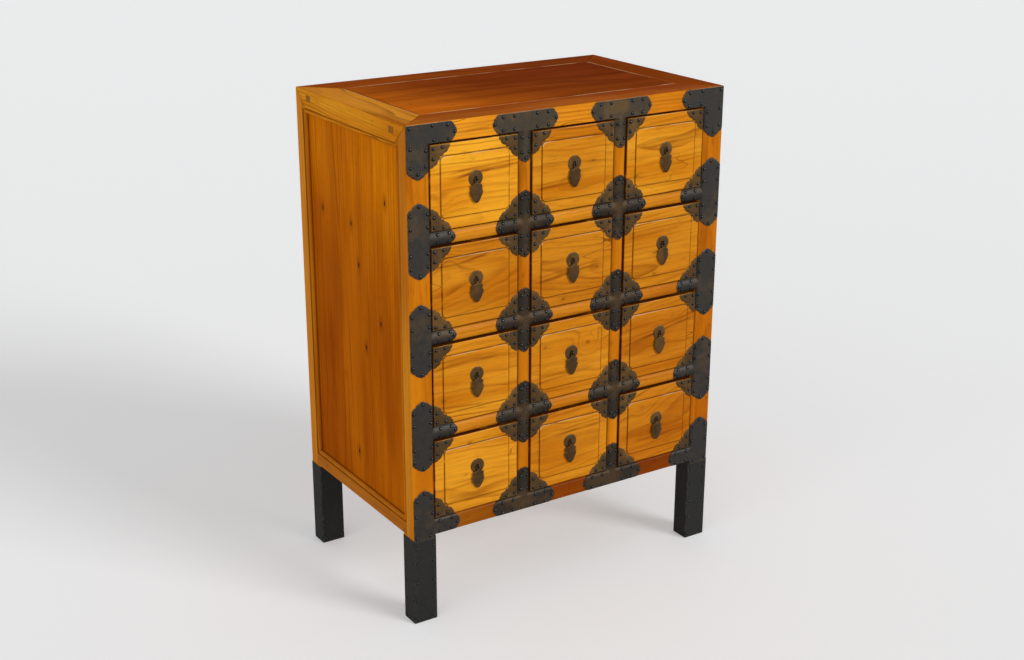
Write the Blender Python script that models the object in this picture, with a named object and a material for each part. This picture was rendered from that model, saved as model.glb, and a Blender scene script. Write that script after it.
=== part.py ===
"""Chest of twelve small drawers in lacquered wood bound with sheet iron.

Metres, +Z up. The front faces -Y, and the origin is on the floor under the middle of the chest.
Rows are counted from the top and columns from the left, as seen from the front.
"""

import math

import bmesh
import bpy
from mathutils import Matrix, Vector

# Size of the wooden chest
WIDTH = 0.600
DEPTH = 0.367
HEIGHT = 0.820
COLUMNS = 3
ROWS = 4

# Room between pieces that touch, how far shapes of one piece run into each other, and how far a
# cutter starts below what it cuts
GAP = 0.0003
OVERLAP = 0.004
OVERRUN = 0.010

# Posts, which run down into the legs
POST_WIDTH = 0.040
POST_DEPTH = 0.032
POST_ROUND = 0.005
LEG_CLEARANCE = 0.152

# Top: a mitred frame with a panel held in its groove, flush with it. The lip is how far the point of
# a post stays below the top
TOP_RAIL_HEIGHT = 0.031
TOP_MEMBER_WIDTH = 0.058
TOP_EDGE_CHAMFER = 0.001
MITRE_LIP = 0.0018
TOP_PANEL_THICKNESS = 0.012
TONGUE_HEIGHT = 0.005
TONGUE_REACH = 0.006

# Rails and dividers of the front
MID_RAIL_HEIGHT = 0.023
DIVIDER_WIDTH = 0.0245
RAIL_DEPTH = 0.024
CROWN = 0.005
BOTTOM_RAIL_HEIGHT = 0.028
BOTTOM_RAIL_ROUND = 0.006

# Sides and back
SIDE_PANEL_SINK = 0.005
SIDE_PANEL_THICKNESS = 0.008
BEAD_WIDTH = 0.0045
BEAD_SINK = 0.0007
BACK_PANEL_SINK = 0.004
BACK_PANEL_THICKNESS = 0.008

# Decks that the drawers run on, with guides and partitions
BOARD_THICKNESS = 0.010
PARTITION_THICKNESS = 0.012
GUIDE_HEIGHT = 0.010
GUIDE_WIDTH = 0.008

# Drawers: the border of a front rises to the edge of its field, which stands up with a chamfer
FRONT_SETBACK = 0.0004
FRONT_THICKNESS = 0.015
FRONT_CORNER = 0.0006
BORDER_SIDE = 0.0175
BORDER_TOP = 0.0185
BORDER_RISE = 0.0008
FIELD_RISE = 0.0011
FIELD_CHAMFER = 0.0012
FIELD_CORNER = 0.007
DRAWER_SIDE_ROOM = 0.0008
DRAWER_TOP_ROOM = 0.0030
DRAWER_RUN_ROOM = 0.0005
DRAWER_BACK_ROOM = 0.006
TRAY_INSET = 0.001
TRAY_WALL = 0.009
TRAY_BOTTOM = 0.006
TRAY_LOWER = 0.011

# Pulls: backplate, staple and hanging drop. The staple is a half ring whose middle stands off the
# plate, and the drop turns about that middle
PULL_RISE = 0.0077
PLATE_RADIUS = 0.0125
PLATE_THICKNESS = 0.001
STAPLE_WIRE_RADIUS = 0.0011
STAPLE_RADIUS = 0.0027
STAPLE_STAND = 0.0022
DROP_THICKNESS = 0.0016
DROP_LENGTH = 0.0385
DROP_WIDTH = 0.0212
EYE_RADIUS = 0.0039
EYE_HOLE_RADIUS = 0.0015

# Sheet iron. A reach is measured from the middle of the crossing to the tip, an arm, stem, rise or
# drop from the edge of the crossing, and the seam is where an angle ends over its sleeve
IRON = 0.0012
SLEEVE_IRON = 0.0016
SLEEVE_GAP = 0.0005
SLEEVE_TOP = 0.1497
SLEEVE_FOOT_ROOM = 0.002
SEAM = 0.145
DRAPE = 0.004
CROSS_REACH = 0.0545
SIDE_T_REACH = 0.0597
SIDE_T_ARM = 0.0435
TOP_T_REACH = 0.060
TOP_T_STEM = 0.049
BOTTOM_T_REACH = 0.0615
BOTTOM_T_STEM = 0.049
TOP_ANGLE_ARM = 0.048
TOP_ANGLE_DROP = 0.053
BOTTOM_ANGLE_ARM = 0.0465
BOTTOM_ANGLE_RISE = 0.054

# How far the end of a mount's arm is raked back at its edges, as a share of half its width
END_RAKE_SHARE = 0.58
END_POWER = 1.4

# Half outline of a drop below its eye, as shares of half its width and of its length
DROP_SHARES = (
    (0.19, 0.19),
    (0.42, 0.215),
    (0.76, 0.245),
    (0.88, 0.31),
    (0.86, 0.41),
    (1.00, 0.53),
    (0.83, 0.72),
    (0.53, 0.89),
    (0.22, 0.98),
    (0.00, 1.00),
)

CROWN_STEPS = 4
ROUND_STEPS = 3
STAPLE_STEPS = 6
NOTCH_GROWTH = 1.25
WIRE_SIDES = 6
PLATE_SIDES = 16
EYE_STEPS = 7
HOLE_SIDES = 8
SHARP_ANGLE = math.radians(35)

# Worked out from the sizes above
FRONT = -DEPTH / 2
BACK = DEPTH / 2
POST_INNER = WIDTH / 2 - POST_WIDTH
POST_MIDDLE = WIDTH / 2 - POST_WIDTH / 2
UNDER_TOP = HEIGHT - TOP_RAIL_HEIGHT
STACK = UNDER_TOP - LEG_CLEARANCE - BOTTOM_RAIL_HEIGHT
OPENING_WIDTH = (2 * POST_INNER - (COLUMNS - 1) * DIVIDER_WIDTH) / COLUMNS
OPENING_HEIGHT = (STACK - (ROWS - 1) * MID_RAIL_HEIGHT) / ROWS
BACK_PANEL_FACE = BACK - BACK_PANEL_SINK - BACK_PANEL_THICKNESS
SIDE_PANEL_FACE = WIDTH / 2 - SIDE_PANEL_SINK - SIDE_PANEL_THICKNESS
FACE = FRONT + FRONT_SETBACK
FIELD_FACE = -BORDER_RISE - FIELD_RISE
DRAWER_WIDTH = OPENING_WIDTH - 2 * DRAWER_SIDE_ROOM
DRAWER_HEIGHT = OPENING_HEIGHT - DRAWER_TOP_ROOM - DRAWER_RUN_ROOM
DRAWER_DEPTH = BACK_PANEL_FACE - DRAWER_BACK_ROOM - FACE
PULL_HEIGHT = DRAWER_HEIGHT / 2 + PULL_RISE
PULL_AXIS = FIELD_FACE - PLATE_THICKNESS - STAPLE_STAND


def column_middle(column):
    """X of the middle of a column of drawers."""
    return -POST_INNER + OPENING_WIDTH / 2 + column * (OPENING_WIDTH + DIVIDER_WIDTH)


def divider_middle(column):
    """X of the divider at the right of a column."""
    return column_middle(column) + OPENING_WIDTH / 2 + DIVIDER_WIDTH / 2


def deck_top(row):
    """Z of the surface that a row of drawers runs on."""
    return UNDER_TOP - (row + 1) * OPENING_HEIGHT - row * MID_RAIL_HEIGHT


def rail_middle(row):
    """Z of the middle of the half-round rail under a row of drawers."""
    return deck_top(row) - MID_RAIL_HEIGHT / 2


# Materials


def finish(name, colour, roughness, metallic=0.0):
    material = bpy.data.materials.new(name)
    material.use_nodes = True
    shader = material.node_tree.nodes["Principled BSDF"]
    shader.inputs["Base Color"].default_value = (*colour, 1.0)
    shader.inputs["Roughness"].default_value = roughness
    shader.inputs["Metallic"].default_value = metallic
    return material


def finishes():
    return {
        "post": finish("honey_wood_posts", (0.56, 0.22, 0.028), 0.35),
        "drawer": finish("golden_wood_drawers", (0.64, 0.30, 0.042), 0.35),
        "top_frame": finish("red_brown_wood_top_frame", (0.33, 0.10, 0.017), 0.30),
        "top_panel": finish("red_brown_wood_top_panel", (0.22, 0.055, 0.010), 0.30),
        "side": finish("amber_wood_sides", (0.43, 0.15, 0.012), 0.38),
        "deck": finish("amber_wood_rails", (0.54, 0.21, 0.025), 0.38),
        "back": finish("plain_wood_back", (0.36, 0.15, 0.04), 0.60),
        "mount": finish("dark_iron_mounts", (0.045, 0.042, 0.036), 0.48, 0.6),
        "sleeve": finish("dark_iron_sleeves", (0.030, 0.029, 0.026), 0.50, 0.6),
        "drop": finish("bronzed_iron_drops", (0.110, 0.070, 0.030), 0.45, 0.6),
    }


# Shape tools


def to_mesh(bm, name, smooth=False):
    bmesh.ops.recalc_face_normals(bm, faces=bm.faces)
    mesh = bpy.data.meshes.new(name)
    bm.to_mesh(mesh)
    bm.free()
    if smooth:
        mesh.shade_smooth()
        mesh.set_sharp_from_angle(angle=SHARP_ANGLE)
    return mesh


def box(low, high, name="box"):
    """Box between two opposite corners."""
    low = Vector(low)
    size = Vector(high) - low
    bm = bmesh.new()
    bmesh.ops.create_cube(bm, size=1)
    for vert in bm.verts:
        share = vert.co + Vector((1, 1, 1)) / 2
        vert.co = low + share * size
    return to_mesh(bm, name)


def extrude_flat(bm, offset):
    """Turns a sheet of faces into a closed solid by extruding it along an offset."""
    made = bmesh.ops.extrude_face_region(bm, geom=bm.faces[:])
    moved = [item for item in made["geom"] if isinstance(item, bmesh.types.BMVert)]
    bmesh.ops.translate(bm, verts=moved, vec=offset)


def place_flat(outline, axis, at):
    """Points of a flat outline that faces an axis: its two numbers are the other two axes in order."""
    points = {
        "X": [(at, a, b) for a, b in outline],
        "Y": [(a, at, b) for a, b in outline],
        "Z": [(a, b, at) for a, b in outline],
    }
    return points[axis]


def prism(outline, axis, start, end, name="prism", smooth=False):
    """Flat outline extruded along an axis."""
    bm = bmesh.new()
    bm.faces.new([bm.verts.new(point) for point in place_flat(outline, axis, start)])
    offset = Vector(place_flat([(0, 0)], axis, end - start)[0])
    extrude_flat(bm, offset)
    return to_mesh(bm, name, smooth)


def lofted(loops, name, ring=False, smooth=False):
    """Skin over loops of the same number of points, capped at its ends or closed into a ring."""
    bm = bmesh.new()
    rows = [[bm.verts.new(point) for point in loop] for loop in loops]
    following = rows[1:] + rows[:1] if ring else rows[1:]
    for first, second in zip(rows, following):
        for i in range(len(first)):
            before = i - 1
            bm.faces.new((first[before], first[i], second[i], second[before]))
    if not ring:
        bm.faces.new(rows[0])
        bm.faces.new(rows[-1])
    return to_mesh(bm, name, smooth)


def rectangle(half_a, half_b):
    return [(-half_a, -half_b), (half_a, -half_b), (half_a, half_b), (-half_a, half_b)]


def rounded_rectangle(half_a, half_b, radius):
    """Rectangle with an arc at each corner, which has the same number of points at any radius."""
    points = []
    for quarter, (a, b) in enumerate(rectangle(half_a - radius, half_b - radius)):
        for step in range(ROUND_STEPS + 1):
            angle = math.pi + (quarter + step / ROUND_STEPS) * math.pi / 2
            points.append((a + radius * math.cos(angle), b + radius * math.sin(angle)))
    return points


def fused(name, meshes, smooth=False):
    """One closed mesh made of several that run into each other."""
    shapes = [bpy.data.objects.new(f"{name}_shape", mesh) for mesh in meshes]
    for shape in shapes:
        bpy.context.scene.collection.objects.link(shape)
    for other in shapes[1:]:
        join = shapes[0].modifiers.new("join", "BOOLEAN")
        join.operation = "UNION"
        join.object = other
    graph = bpy.context.evaluated_depsgraph_get()
    mesh = bpy.data.meshes.new_from_object(shapes[0].evaluated_get(graph))
    mesh.name = name
    for shape in shapes:
        bpy.data.objects.remove(shape)
    if smooth:
        mesh.shade_smooth()
        mesh.set_sharp_from_angle(angle=SHARP_ANGLE)
    return mesh


def stand(name, mesh, material, parent, place=(0, 0, 0)):
    """Puts a mesh into the scene as a named piece."""
    if not mesh.materials:
        mesh.materials.append(material)
    piece = bpy.data.objects.new(name, mesh)
    piece.location = place
    piece.parent = parent
    bpy.context.scene.collection.objects.link(piece)
    return piece


# Curved faces of the front


def across(width):
    """Even places across a member, about its middle: its face and the iron on it share them."""
    return [width * (step / CROWN_STEPS - 1 / 2) for step in range(CROWN_STEPS + 1)]


def crown_depth(offset, width):
    """Depth of a shallow round face behind its crown, at an offset from its middle line."""
    radius = ((width / 2) ** 2 + CROWN**2) / (2 * CROWN)
    offset = min(abs(offset), width / 2)
    return radius - math.sqrt(radius**2 - offset**2)


def edge_depth(past, radius):
    """Depth of a rounded edge, at a distance past the line where the rounding starts."""
    past = min(max(past, 0), radius)
    return radius - math.sqrt(radius**2 - past**2)


def crowned_outline(width, depth):
    """Section of a member with a shallow round face: its crown is at zero and its back at depth."""
    points = [(offset, crown_depth(offset, width)) for offset in across(width)]
    return [*points, (width / 2, depth), (-width / 2, depth)]


def rounded_edge_outline(depth, height, radius):
    """Section of the bottom rail, seen along it: the edge between its front and its top is round."""
    points = [(0, -height)]
    for step in range(ROUND_STEPS + 1):
        angle = step / ROUND_STEPS * math.pi / 2
        points.append((radius - radius * math.cos(angle), radius * math.sin(angle) - radius))
    return [*points, (depth, 0), (depth, -height)]


# Posts and top


def post_outline(face):
    """Section of a post about its inner corner, with a round edge towards the drawers in front."""
    points = [(0, 0)]
    if face < 0:
        for step in range(ROUND_STEPS + 1):
            angle = step / ROUND_STEPS * math.pi / 2
            a = POST_ROUND - POST_ROUND * math.cos(angle)
            points.append((a, POST_DEPTH - POST_ROUND + POST_ROUND * math.sin(angle)))
    else:
        points.append((0, POST_DEPTH))
    return [*points, (POST_WIDTH, POST_DEPTH), (POST_WIDTH, 0)]


def post_mesh(name, side, face, low, shoulder, growth=1):
    """A post cut to a three-way mitre, which rises in two slopes to a point at its outer corner."""
    bm = bmesh.new()
    floor = []
    top = []
    for a, b in post_outline(face):
        rise = (TOP_RAIL_HEIGHT - MITRE_LIP) * min(a / POST_WIDTH, b / POST_DEPTH)
        place = (side * a * growth, face * b * growth)
        floor.append(bm.verts.new((*place, low)))
        top.append(bm.verts.new((*place, shoulder + rise * growth)))
    for i in range(len(top)):
        bm.faces.new((floor[i - 1], floor[i], top[i], top[i - 1]))
    bm.faces.new(floor)
    bm.faces.new(top[:-1])
    bm.faces.new((top[0], top[-2], top[-1]))
    return to_mesh(bm, name)


def post_place(side, face):
    return (side * POST_INNER, face * (DEPTH / 2 - POST_DEPTH), 0)


def build_posts(cabinet, looks):
    for face, face_name in ((-1, "front"), (1, "back")):
        for side, side_name in ((-1, "left"), (1, "right")):
            name = f"post_{face_name}_{side_name}"
            mesh = post_mesh(name, side, face, 0, UNDER_TOP - GAP)
            stand(name, mesh, looks["post"], cabinet, post_place(side, face))


def inset_loop(inset, z):
    """Rectangle that lies inside the outline of the chest by an inset."""
    return place_flat(rectangle(WIDTH / 2 - inset, DEPTH / 2 - inset), "Z", z)


def build_top_frame(cabinet, looks):
    """Frame with a groove for the panel, and a hollow at each corner for the point of a post."""
    tongue_low = HEIGHT - TOP_PANEL_THICKNESS
    section = [
        (0, UNDER_TOP),
        (0, HEIGHT - TOP_EDGE_CHAMFER),
        (TOP_EDGE_CHAMFER, HEIGHT),
        (TOP_MEMBER_WIDTH, HEIGHT),
        (TOP_MEMBER_WIDTH, tongue_low + TONGUE_HEIGHT + GAP),
        (TOP_MEMBER_WIDTH - TONGUE_REACH - GAP, tongue_low + TONGUE_HEIGHT + GAP),
        (TOP_MEMBER_WIDTH - TONGUE_REACH - GAP, tongue_low - GAP),
        (TOP_MEMBER_WIDTH, tongue_low - GAP),
        (TOP_MEMBER_WIDTH, UNDER_TOP),
    ]
    mesh = lofted([inset_loop(inset, z) for inset, z in section], "top_frame", ring=True)
    frame = stand("top_frame", mesh, looks["top_frame"], cabinet)
    for face in (-1, 1):
        for side in (-1, 1):
            name = f"top_frame_notch_{'front' if face < 0 else 'back'}_{'left' if side < 0 else 'right'}"
            hollow = post_mesh(name, side, face, UNDER_TOP - OVERRUN, UNDER_TOP, NOTCH_GROWTH)
            cutter = stand(name, hollow, looks["top_frame"], cabinet, post_place(side, face))
            cutter.hide_render = True
            cutter.display_type = "WIRE"
            cut = frame.modifiers.new("post_point", "BOOLEAN")
            cut.operation = "DIFFERENCE"
            cut.object = cutter


def build_top_panel(cabinet, looks):
    low = HEIGHT - TOP_PANEL_THICKNESS
    steps = (
        (TOP_MEMBER_WIDTH - TONGUE_REACH, low),
        (TOP_MEMBER_WIDTH - TONGUE_REACH, low + TONGUE_HEIGHT),
        (TOP_MEMBER_WIDTH + GAP, low + TONGUE_HEIGHT),
        (TOP_MEMBER_WIDTH + GAP, HEIGHT),
    )
    mesh = lofted([inset_loop(inset, z) for inset, z in steps], "top_panel")
    stand("top_panel", mesh, looks["top_panel"], cabinet)


# Sides and back


def build_side_panels(cabinet, looks):
    """Sunk panel with a bead round its edge, between the posts, the top and the side's bottom rail."""
    half_depth = DEPTH / 2 - POST_DEPTH - GAP
    low = deck_top(ROWS - 1) + GAP
    high = UNDER_TOP - GAP
    bead_face = WIDTH / 2 - BEAD_SINK
    panel_face = WIDTH / 2 - SIDE_PANEL_SINK
    steps = ((SIDE_PANEL_FACE, 0), (bead_face, 0), (bead_face, BEAD_WIDTH), (panel_face, BEAD_WIDTH))
    for side, side_name in ((-1, "left"), (1, "right")):
        loops = []
        for x, inset in steps:
            flat = rectangle(half_depth - inset, (high - low) / 2 - inset)
            loops.append([(side * x, y, (high + low) / 2 + z) for y, z in flat])
        mesh = lofted(loops, f"side_panel_{side_name}")
        stand(f"side_panel_{side_name}", mesh, looks["side"], cabinet)


def build_back_panel(cabinet, looks):
    half_width = POST_INNER - GAP
    low = (-half_width, BACK_PANEL_FACE, deck_top(ROWS - 1) + GAP)
    high = (half_width, BACK - BACK_PANEL_SINK, UNDER_TOP - GAP)
    stand("back_panel", box(low, high, "back_panel"), looks["back"], cabinet)


# Decks, each with the rail under a row of drawers, and the dividers and partitions of that row


def deck_board():
    """Board between the side panels, cut round the posts."""
    narrow = POST_INNER - GAP
    wide = SIDE_PANEL_FACE - GAP
    post_end = DEPTH / 2 - POST_DEPTH - GAP
    start = FRONT + RAIL_DEPTH - OVERLAP
    end = BACK_PANEL_FACE - GAP
    half = [(narrow, start), (narrow, -post_end), (wide, -post_end)]
    half += [(wide, post_end), (narrow, post_end), (narrow, end)]
    other = [(-x, y) for x, y in reversed(half)]
    return prism(half + other, "Z", -BOARD_THICKNESS, 0)


def deck_guides():
    """Low strips that keep each drawer on its way, beside the posts and along the dividers."""
    start = FRONT + RAIL_DEPTH - OVERLAP
    end = BACK_PANEL_FACE - GAP
    post_end = DEPTH / 2 - POST_DEPTH - GAP
    low = -BOARD_THICKNESS / 2
    strips = []
    for column in range(COLUMNS - 1):
        middle = divider_middle(column)
        half = DIVIDER_WIDTH / 2
        strips.append(box((middle - half, start, low), (middle + half, end, GUIDE_HEIGHT)))
    for side in (-1, 1):
        inner = side * POST_INNER
        outer = side * (POST_INNER + GUIDE_WIDTH)
        near = (min(inner, outer), -post_end, low)
        far = (max(inner, outer), post_end, GUIDE_HEIGHT)
        strips.append(box(near, far))
    return strips


def deck_dividers(front_height, board_height):
    """Round-faced dividers in the front, each with a partition board behind it."""
    shapes = []
    outline = crowned_outline(DIVIDER_WIDTH, RAIL_DEPTH + OVERLAP)
    for column in range(COLUMNS - 1):
        middle = divider_middle(column)
        flat = [(middle + a, FRONT + b) for a, b in outline]
        shapes.append(prism(flat, "Z", -BOARD_THICKNESS / 2, front_height, smooth=True))
        half = PARTITION_THICKNESS / 2
        low = (middle - half, FRONT + RAIL_DEPTH + GAP, -BOARD_THICKNESS / 2)
        high = (middle + half, BACK_PANEL_FACE - GAP, board_height)
        shapes.append(box(low, high))
    return shapes


def mid_rail():
    """Half-round rail from post to post, its top level with the deck."""
    half_width = POST_INNER - GAP
    outline = crowned_outline(MID_RAIL_HEIGHT, RAIL_DEPTH)
    flat = [(FRONT + b, a - MID_RAIL_HEIGHT / 2) for a, b in outline]
    return prism(flat, "X", -half_width, half_width, smooth=True)


def bottom_rails():
    """Front, back and side rails under the lowest row, each between two posts."""
    half_width = POST_INNER - GAP
    half_depth = DEPTH / 2 - POST_DEPTH - GAP
    low = -BOTTOM_RAIL_HEIGHT
    outline = rounded_edge_outline(RAIL_DEPTH, BOTTOM_RAIL_HEIGHT, BOTTOM_RAIL_ROUND)
    flat = [(FRONT + a, b) for a, b in outline]
    rails = [prism(flat, "X", -half_width, half_width, smooth=True)]
    rails.append(box((-half_width, BACK - RAIL_DEPTH, low), (half_width, BACK, 0)))
    for side in (-1, 1):
        outer = side * WIDTH / 2
        inner = side * (WIDTH / 2 - RAIL_DEPTH)
        near = (min(inner, outer), -half_depth, low)
        far = (max(inner, outer), half_depth, 0)
        rails.append(box(near, far))
    return rails


def build_decks(cabinet, looks):
    for row in range(ROWS):
        name = f"deck_row{row + 1}"
        rails = bottom_rails() if row == ROWS - 1 else [mid_rail()]
        front_height = OPENING_HEIGHT - GAP
        board_height = front_height
        if row > 0:
            board_height += MID_RAIL_HEIGHT - BOARD_THICKNESS
        dividers = deck_dividers(front_height, board_height)
        mesh = fused(name, [*rails, deck_board(), *deck_guides(), *dividers], smooth=True)
        stand(name, mesh, looks["deck"], cabinet, (0, 0, deck_top(row)))


# Drawers and pulls


def drawer_front():
    """Front board whose border rises gently to a raised field with round corners."""
    half_width = DRAWER_WIDTH / 2
    half_height = DRAWER_HEIGHT / 2
    field_width = half_width - BORDER_SIDE
    field_height = half_height - BORDER_TOP
    steps = (
        (FRONT_THICKNESS, half_width, half_height, FRONT_CORNER),
        (0, half_width, half_height, FRONT_CORNER),
        (-BORDER_RISE, field_width, field_height, FIELD_CORNER),
        (FIELD_FACE, field_width - FIELD_CHAMFER, field_height - FIELD_CHAMFER, FIELD_CORNER),
    )
    loops = []
    for y, half_a, half_b, radius in steps:
        flat = rounded_rectangle(half_a, half_b, radius)
        loops.append([(x, y, half_height + z) for x, z in flat])
    return lofted(loops, "drawer_front")


def drawer_tray():
    """Sides, back and bottom: an open tray that runs into the front board."""
    half_width = DRAWER_WIDTH / 2 - TRAY_INSET
    height = DRAWER_HEIGHT - TRAY_LOWER
    start = FRONT_THICKNESS - TRAY_WALL
    middle = (start + DRAWER_DEPTH) / 2
    half_depth = (DRAWER_DEPTH - start) / 2
    steps = ((0, 0), (0, height), (TRAY_WALL, height), (TRAY_WALL, TRAY_BOTTOM))
    loops = []
    for inset, z in steps:
        flat = rectangle(half_width - inset, half_depth - inset)
        loops.append([(x, middle + y, z) for x, y in flat])
    return lofted(loops, "drawer_tray")


def pull_plate():
    """Round backplate, which runs a little into the front board."""
    outline = []
    for step in range(PLATE_SIDES):
        angle = 2 * math.pi * step / PLATE_SIDES
        outline.append((PLATE_RADIUS * math.cos(angle), PULL_HEIGHT + PLATE_RADIUS * math.sin(angle)))
    return prism(outline, "Y", FIELD_FACE - PLATE_THICKNESS, FIELD_FACE + PLATE_THICKNESS)


def pull_staple():
    """Bent wire: a half ring about the pull's axis with two straight legs into the front board."""
    legs = FRONT_THICKNESS / 2
    path = [(legs, STAPLE_RADIUS, math.pi / 2)]
    for step in range(STAPLE_STEPS + 1):
        angle = math.pi / 2 + math.pi * step / STAPLE_STEPS
        y = PULL_AXIS + STAPLE_RADIUS * math.cos(angle)
        path.append((y, STAPLE_RADIUS * math.sin(angle), angle))
    path.append((legs, -STAPLE_RADIUS, 3 * math.pi / 2))
    loops = []
    for y, z, angle in path:
        ring = []
        for side in range(WIRE_SIDES):
            turn = 2 * math.pi * side / WIRE_SIDES
            out = STAPLE_WIRE_RADIUS * math.sin(turn)
            aside = STAPLE_WIRE_RADIUS * math.cos(turn)
            ring.append((aside, y + out * math.cos(angle), PULL_HEIGHT + z + out * math.sin(angle)))
        loops.append(ring)
    return lofted(loops, "pull_staple")


def drop_mesh():
    """Leaf-shaped drop about the point that it hangs from, with an eye for the staple."""
    half = []
    for step in range(EYE_STEPS + 1):
        angle = math.pi / 2 - (math.pi / 2 + math.pi / 4) * step / EYE_STEPS
        half.append((EYE_RADIUS * math.cos(angle), EYE_RADIUS * math.sin(angle) - STAPLE_RADIUS))
    for wide, down in DROP_SHARES:
        half.append((wide * DROP_WIDTH / 2, -down * DROP_LENGTH))
    other = [(-x, z) for x, z in reversed(half[1:-1])]
    hole = []
    for side in range(HOLE_SIDES):
        angle = 2 * math.pi * (side + 1 / 2) / HOLE_SIDES
        hole.append((EYE_HOLE_RADIUS * math.cos(angle), EYE_HOLE_RADIUS * math.sin(angle) - STAPLE_RADIUS))
    bm = bmesh.new()
    edges = []
    for outline in (half + other, hole):
        verts = [bm.verts.new((x, DROP_THICKNESS / 2, z)) for x, z in outline]
        edges += [bm.edges.new((verts[i - 1], verts[i])) for i in range(len(verts))]
    bmesh.ops.triangle_fill(bm, edges=edges, use_beauty=True)
    extrude_flat(bm, Vector((0, -DROP_THICKNESS, 0)))
    return to_mesh(bm, "pull_drop", smooth=True)


def build_drawers(cabinet, looks):
    drawer = fused("drawer", [drawer_front(), drawer_tray(), pull_plate(), pull_staple()])
    drop = drop_mesh()
    for row in range(ROWS):
        for column in range(COLUMNS):
            spot = f"row{row + 1}_col{column + 1}"
            place = (column_middle(column), FACE, deck_top(row) + DRAWER_RUN_ROOM)
            body = stand(f"drawer_{spot}", drawer, looks["drawer"], cabinet, place)
            stand(f"pull_drop_{spot}", drop, looks["drop"], body, (0, PULL_AXIS, PULL_HEIGHT))


# Sheet iron


def rounded_across(width, radius):
    """Places across a member whose high edge is rounded: they stop short of the end of the rounding."""
    start = width / 2 - radius
    kept = [place for place in across(width) if place < start - radius / 2]
    angles = [step / ROUND_STEPS * math.pi / 2 for step in range(ROUND_STEPS)]
    return kept + [start + radius * math.sin(angle) for angle in angles]


def end_rake(share, half):
    """How far the end of an arm lies behind its tip, at a share of half its width off its middle."""
    return END_RAKE_SHARE * half * abs(share) ** END_POWER


def arm_lines(places, tip, base, sign, straight):
    """Points of an arm along its length, for each place across it: just past its root, and its end."""
    if straight:
        return [[sign * tip] * len(places)]
    middle = (places[0] + places[-1]) / 2
    half = (places[-1] - places[0]) / 2
    ends = [sign * tip - sign * end_rake((place - middle) / half, half) for place in places]
    return [[base + sign * DRAPE] * len(places), ends]


def sheet_mesh(name, columns, rows, depth_x, depth_z, reach, blunt=()):
    """Sheet iron laid over the crossing of an upright and a level member.

    columns and rows are the places of the points over the crossing, about its middle. depth_x and
    depth_z give how far the upright's and the level member's face lie behind the front plane.
    reach gives the distance of each arm's tip from the middle. The arms in blunt end straight.
    """
    bm = bmesh.new()

    def line(xs, zs, depths):
        return [bm.verts.new((x, d - GAP, z)) for x, z, d in zip(xs, zs, depths)]

    def strip(first, second):
        for i in range(len(first) - 1):
            bm.faces.new((first[i], first[i + 1], second[i + 1], second[i]))

    grid = []
    for x in columns:
        depths = [min(depth_x(x), depth_z(z)) for z in rows]
        grid.append(line([x] * len(rows), rows, depths))
    for first, second in zip(grid, grid[1:]):
        strip(first, second)
    for way, tip in reach.items():
        sign = 1 if way in ("right", "up") else -1
        if way in ("left", "right"):
            root = grid[-1] if sign > 0 else grid[0]
            base = columns[-1] if sign > 0 else columns[0]
            depths = [depth_z(z) for z in rows]
            for xs in arm_lines(rows, tip, base, sign, way in blunt):
                ahead = line(xs, rows, depths)
                strip(root, ahead)
                root = ahead
        else:
            root = [column[-1] if sign > 0 else column[0] for column in grid]
            base = rows[-1] if sign > 0 else rows[0]
            depths = [depth_x(x) for x in columns]
            for zs in arm_lines(columns, tip, base, sign, way in blunt):
                ahead = line(columns, zs, depths)
                strip(root, ahead)
                root = ahead
    extrude_flat(bm, Vector((0, -IRON, 0)))
    return to_mesh(bm, name, smooth=True)


def flat_face(place):
    """Face of a member that lies in the front plane."""
    return 0


def divider_face(x):
    return crown_depth(x, DIVIDER_WIDTH)


def mid_rail_face(z):
    return crown_depth(z, MID_RAIL_HEIGHT)


def bottom_rail_face(z):
    return edge_depth(z - BOTTOM_RAIL_HEIGHT / 2 + BOTTOM_RAIL_ROUND, BOTTOM_RAIL_ROUND)


def post_face(side):
    """Face of a front post about its middle, round at the edge towards the drawers."""

    def depth(x):
        return edge_depth(-side * x - POST_WIDTH / 2 + POST_ROUND, POST_ROUND)

    return depth


def post_columns(side):
    return sorted(-side * place for place in rounded_across(POST_WIDTH, POST_ROUND))


def build_crosses(cabinet, looks):
    reach = {way: CROSS_REACH for way in ("left", "right", "up", "down")}
    columns = across(DIVIDER_WIDTH)
    rows = across(MID_RAIL_HEIGHT)
    mesh = sheet_mesh("cross_mount", columns, rows, divider_face, mid_rail_face, reach)
    for row in range(ROWS - 1):
        for column in range(COLUMNS - 1):
            name = f"cross_mount_rail{row + 1}_divider{column + 1}"
            place = (divider_middle(column), FRONT, rail_middle(row))
            stand(name, mesh, looks["mount"], cabinet, place)


def build_side_mounts(cabinet, looks):
    for side, side_name in ((-1, "left"), (1, "right")):
        arm = "right" if side < 0 else "left"
        reach = {"up": SIDE_T_REACH, "down": SIDE_T_REACH, arm: POST_WIDTH / 2 + SIDE_T_ARM}
        rows = across(MID_RAIL_HEIGHT)
        name = f"side_t_mount_{side_name}"
        mesh = sheet_mesh(name, post_columns(side), rows, post_face(side), mid_rail_face, reach)
        for row in range(ROWS - 1):
            name = f"side_t_mount_{side_name}_rail{row + 1}"
            place = (side * POST_MIDDLE, FRONT, rail_middle(row))
            stand(name, mesh, looks["mount"], cabinet, place)


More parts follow.
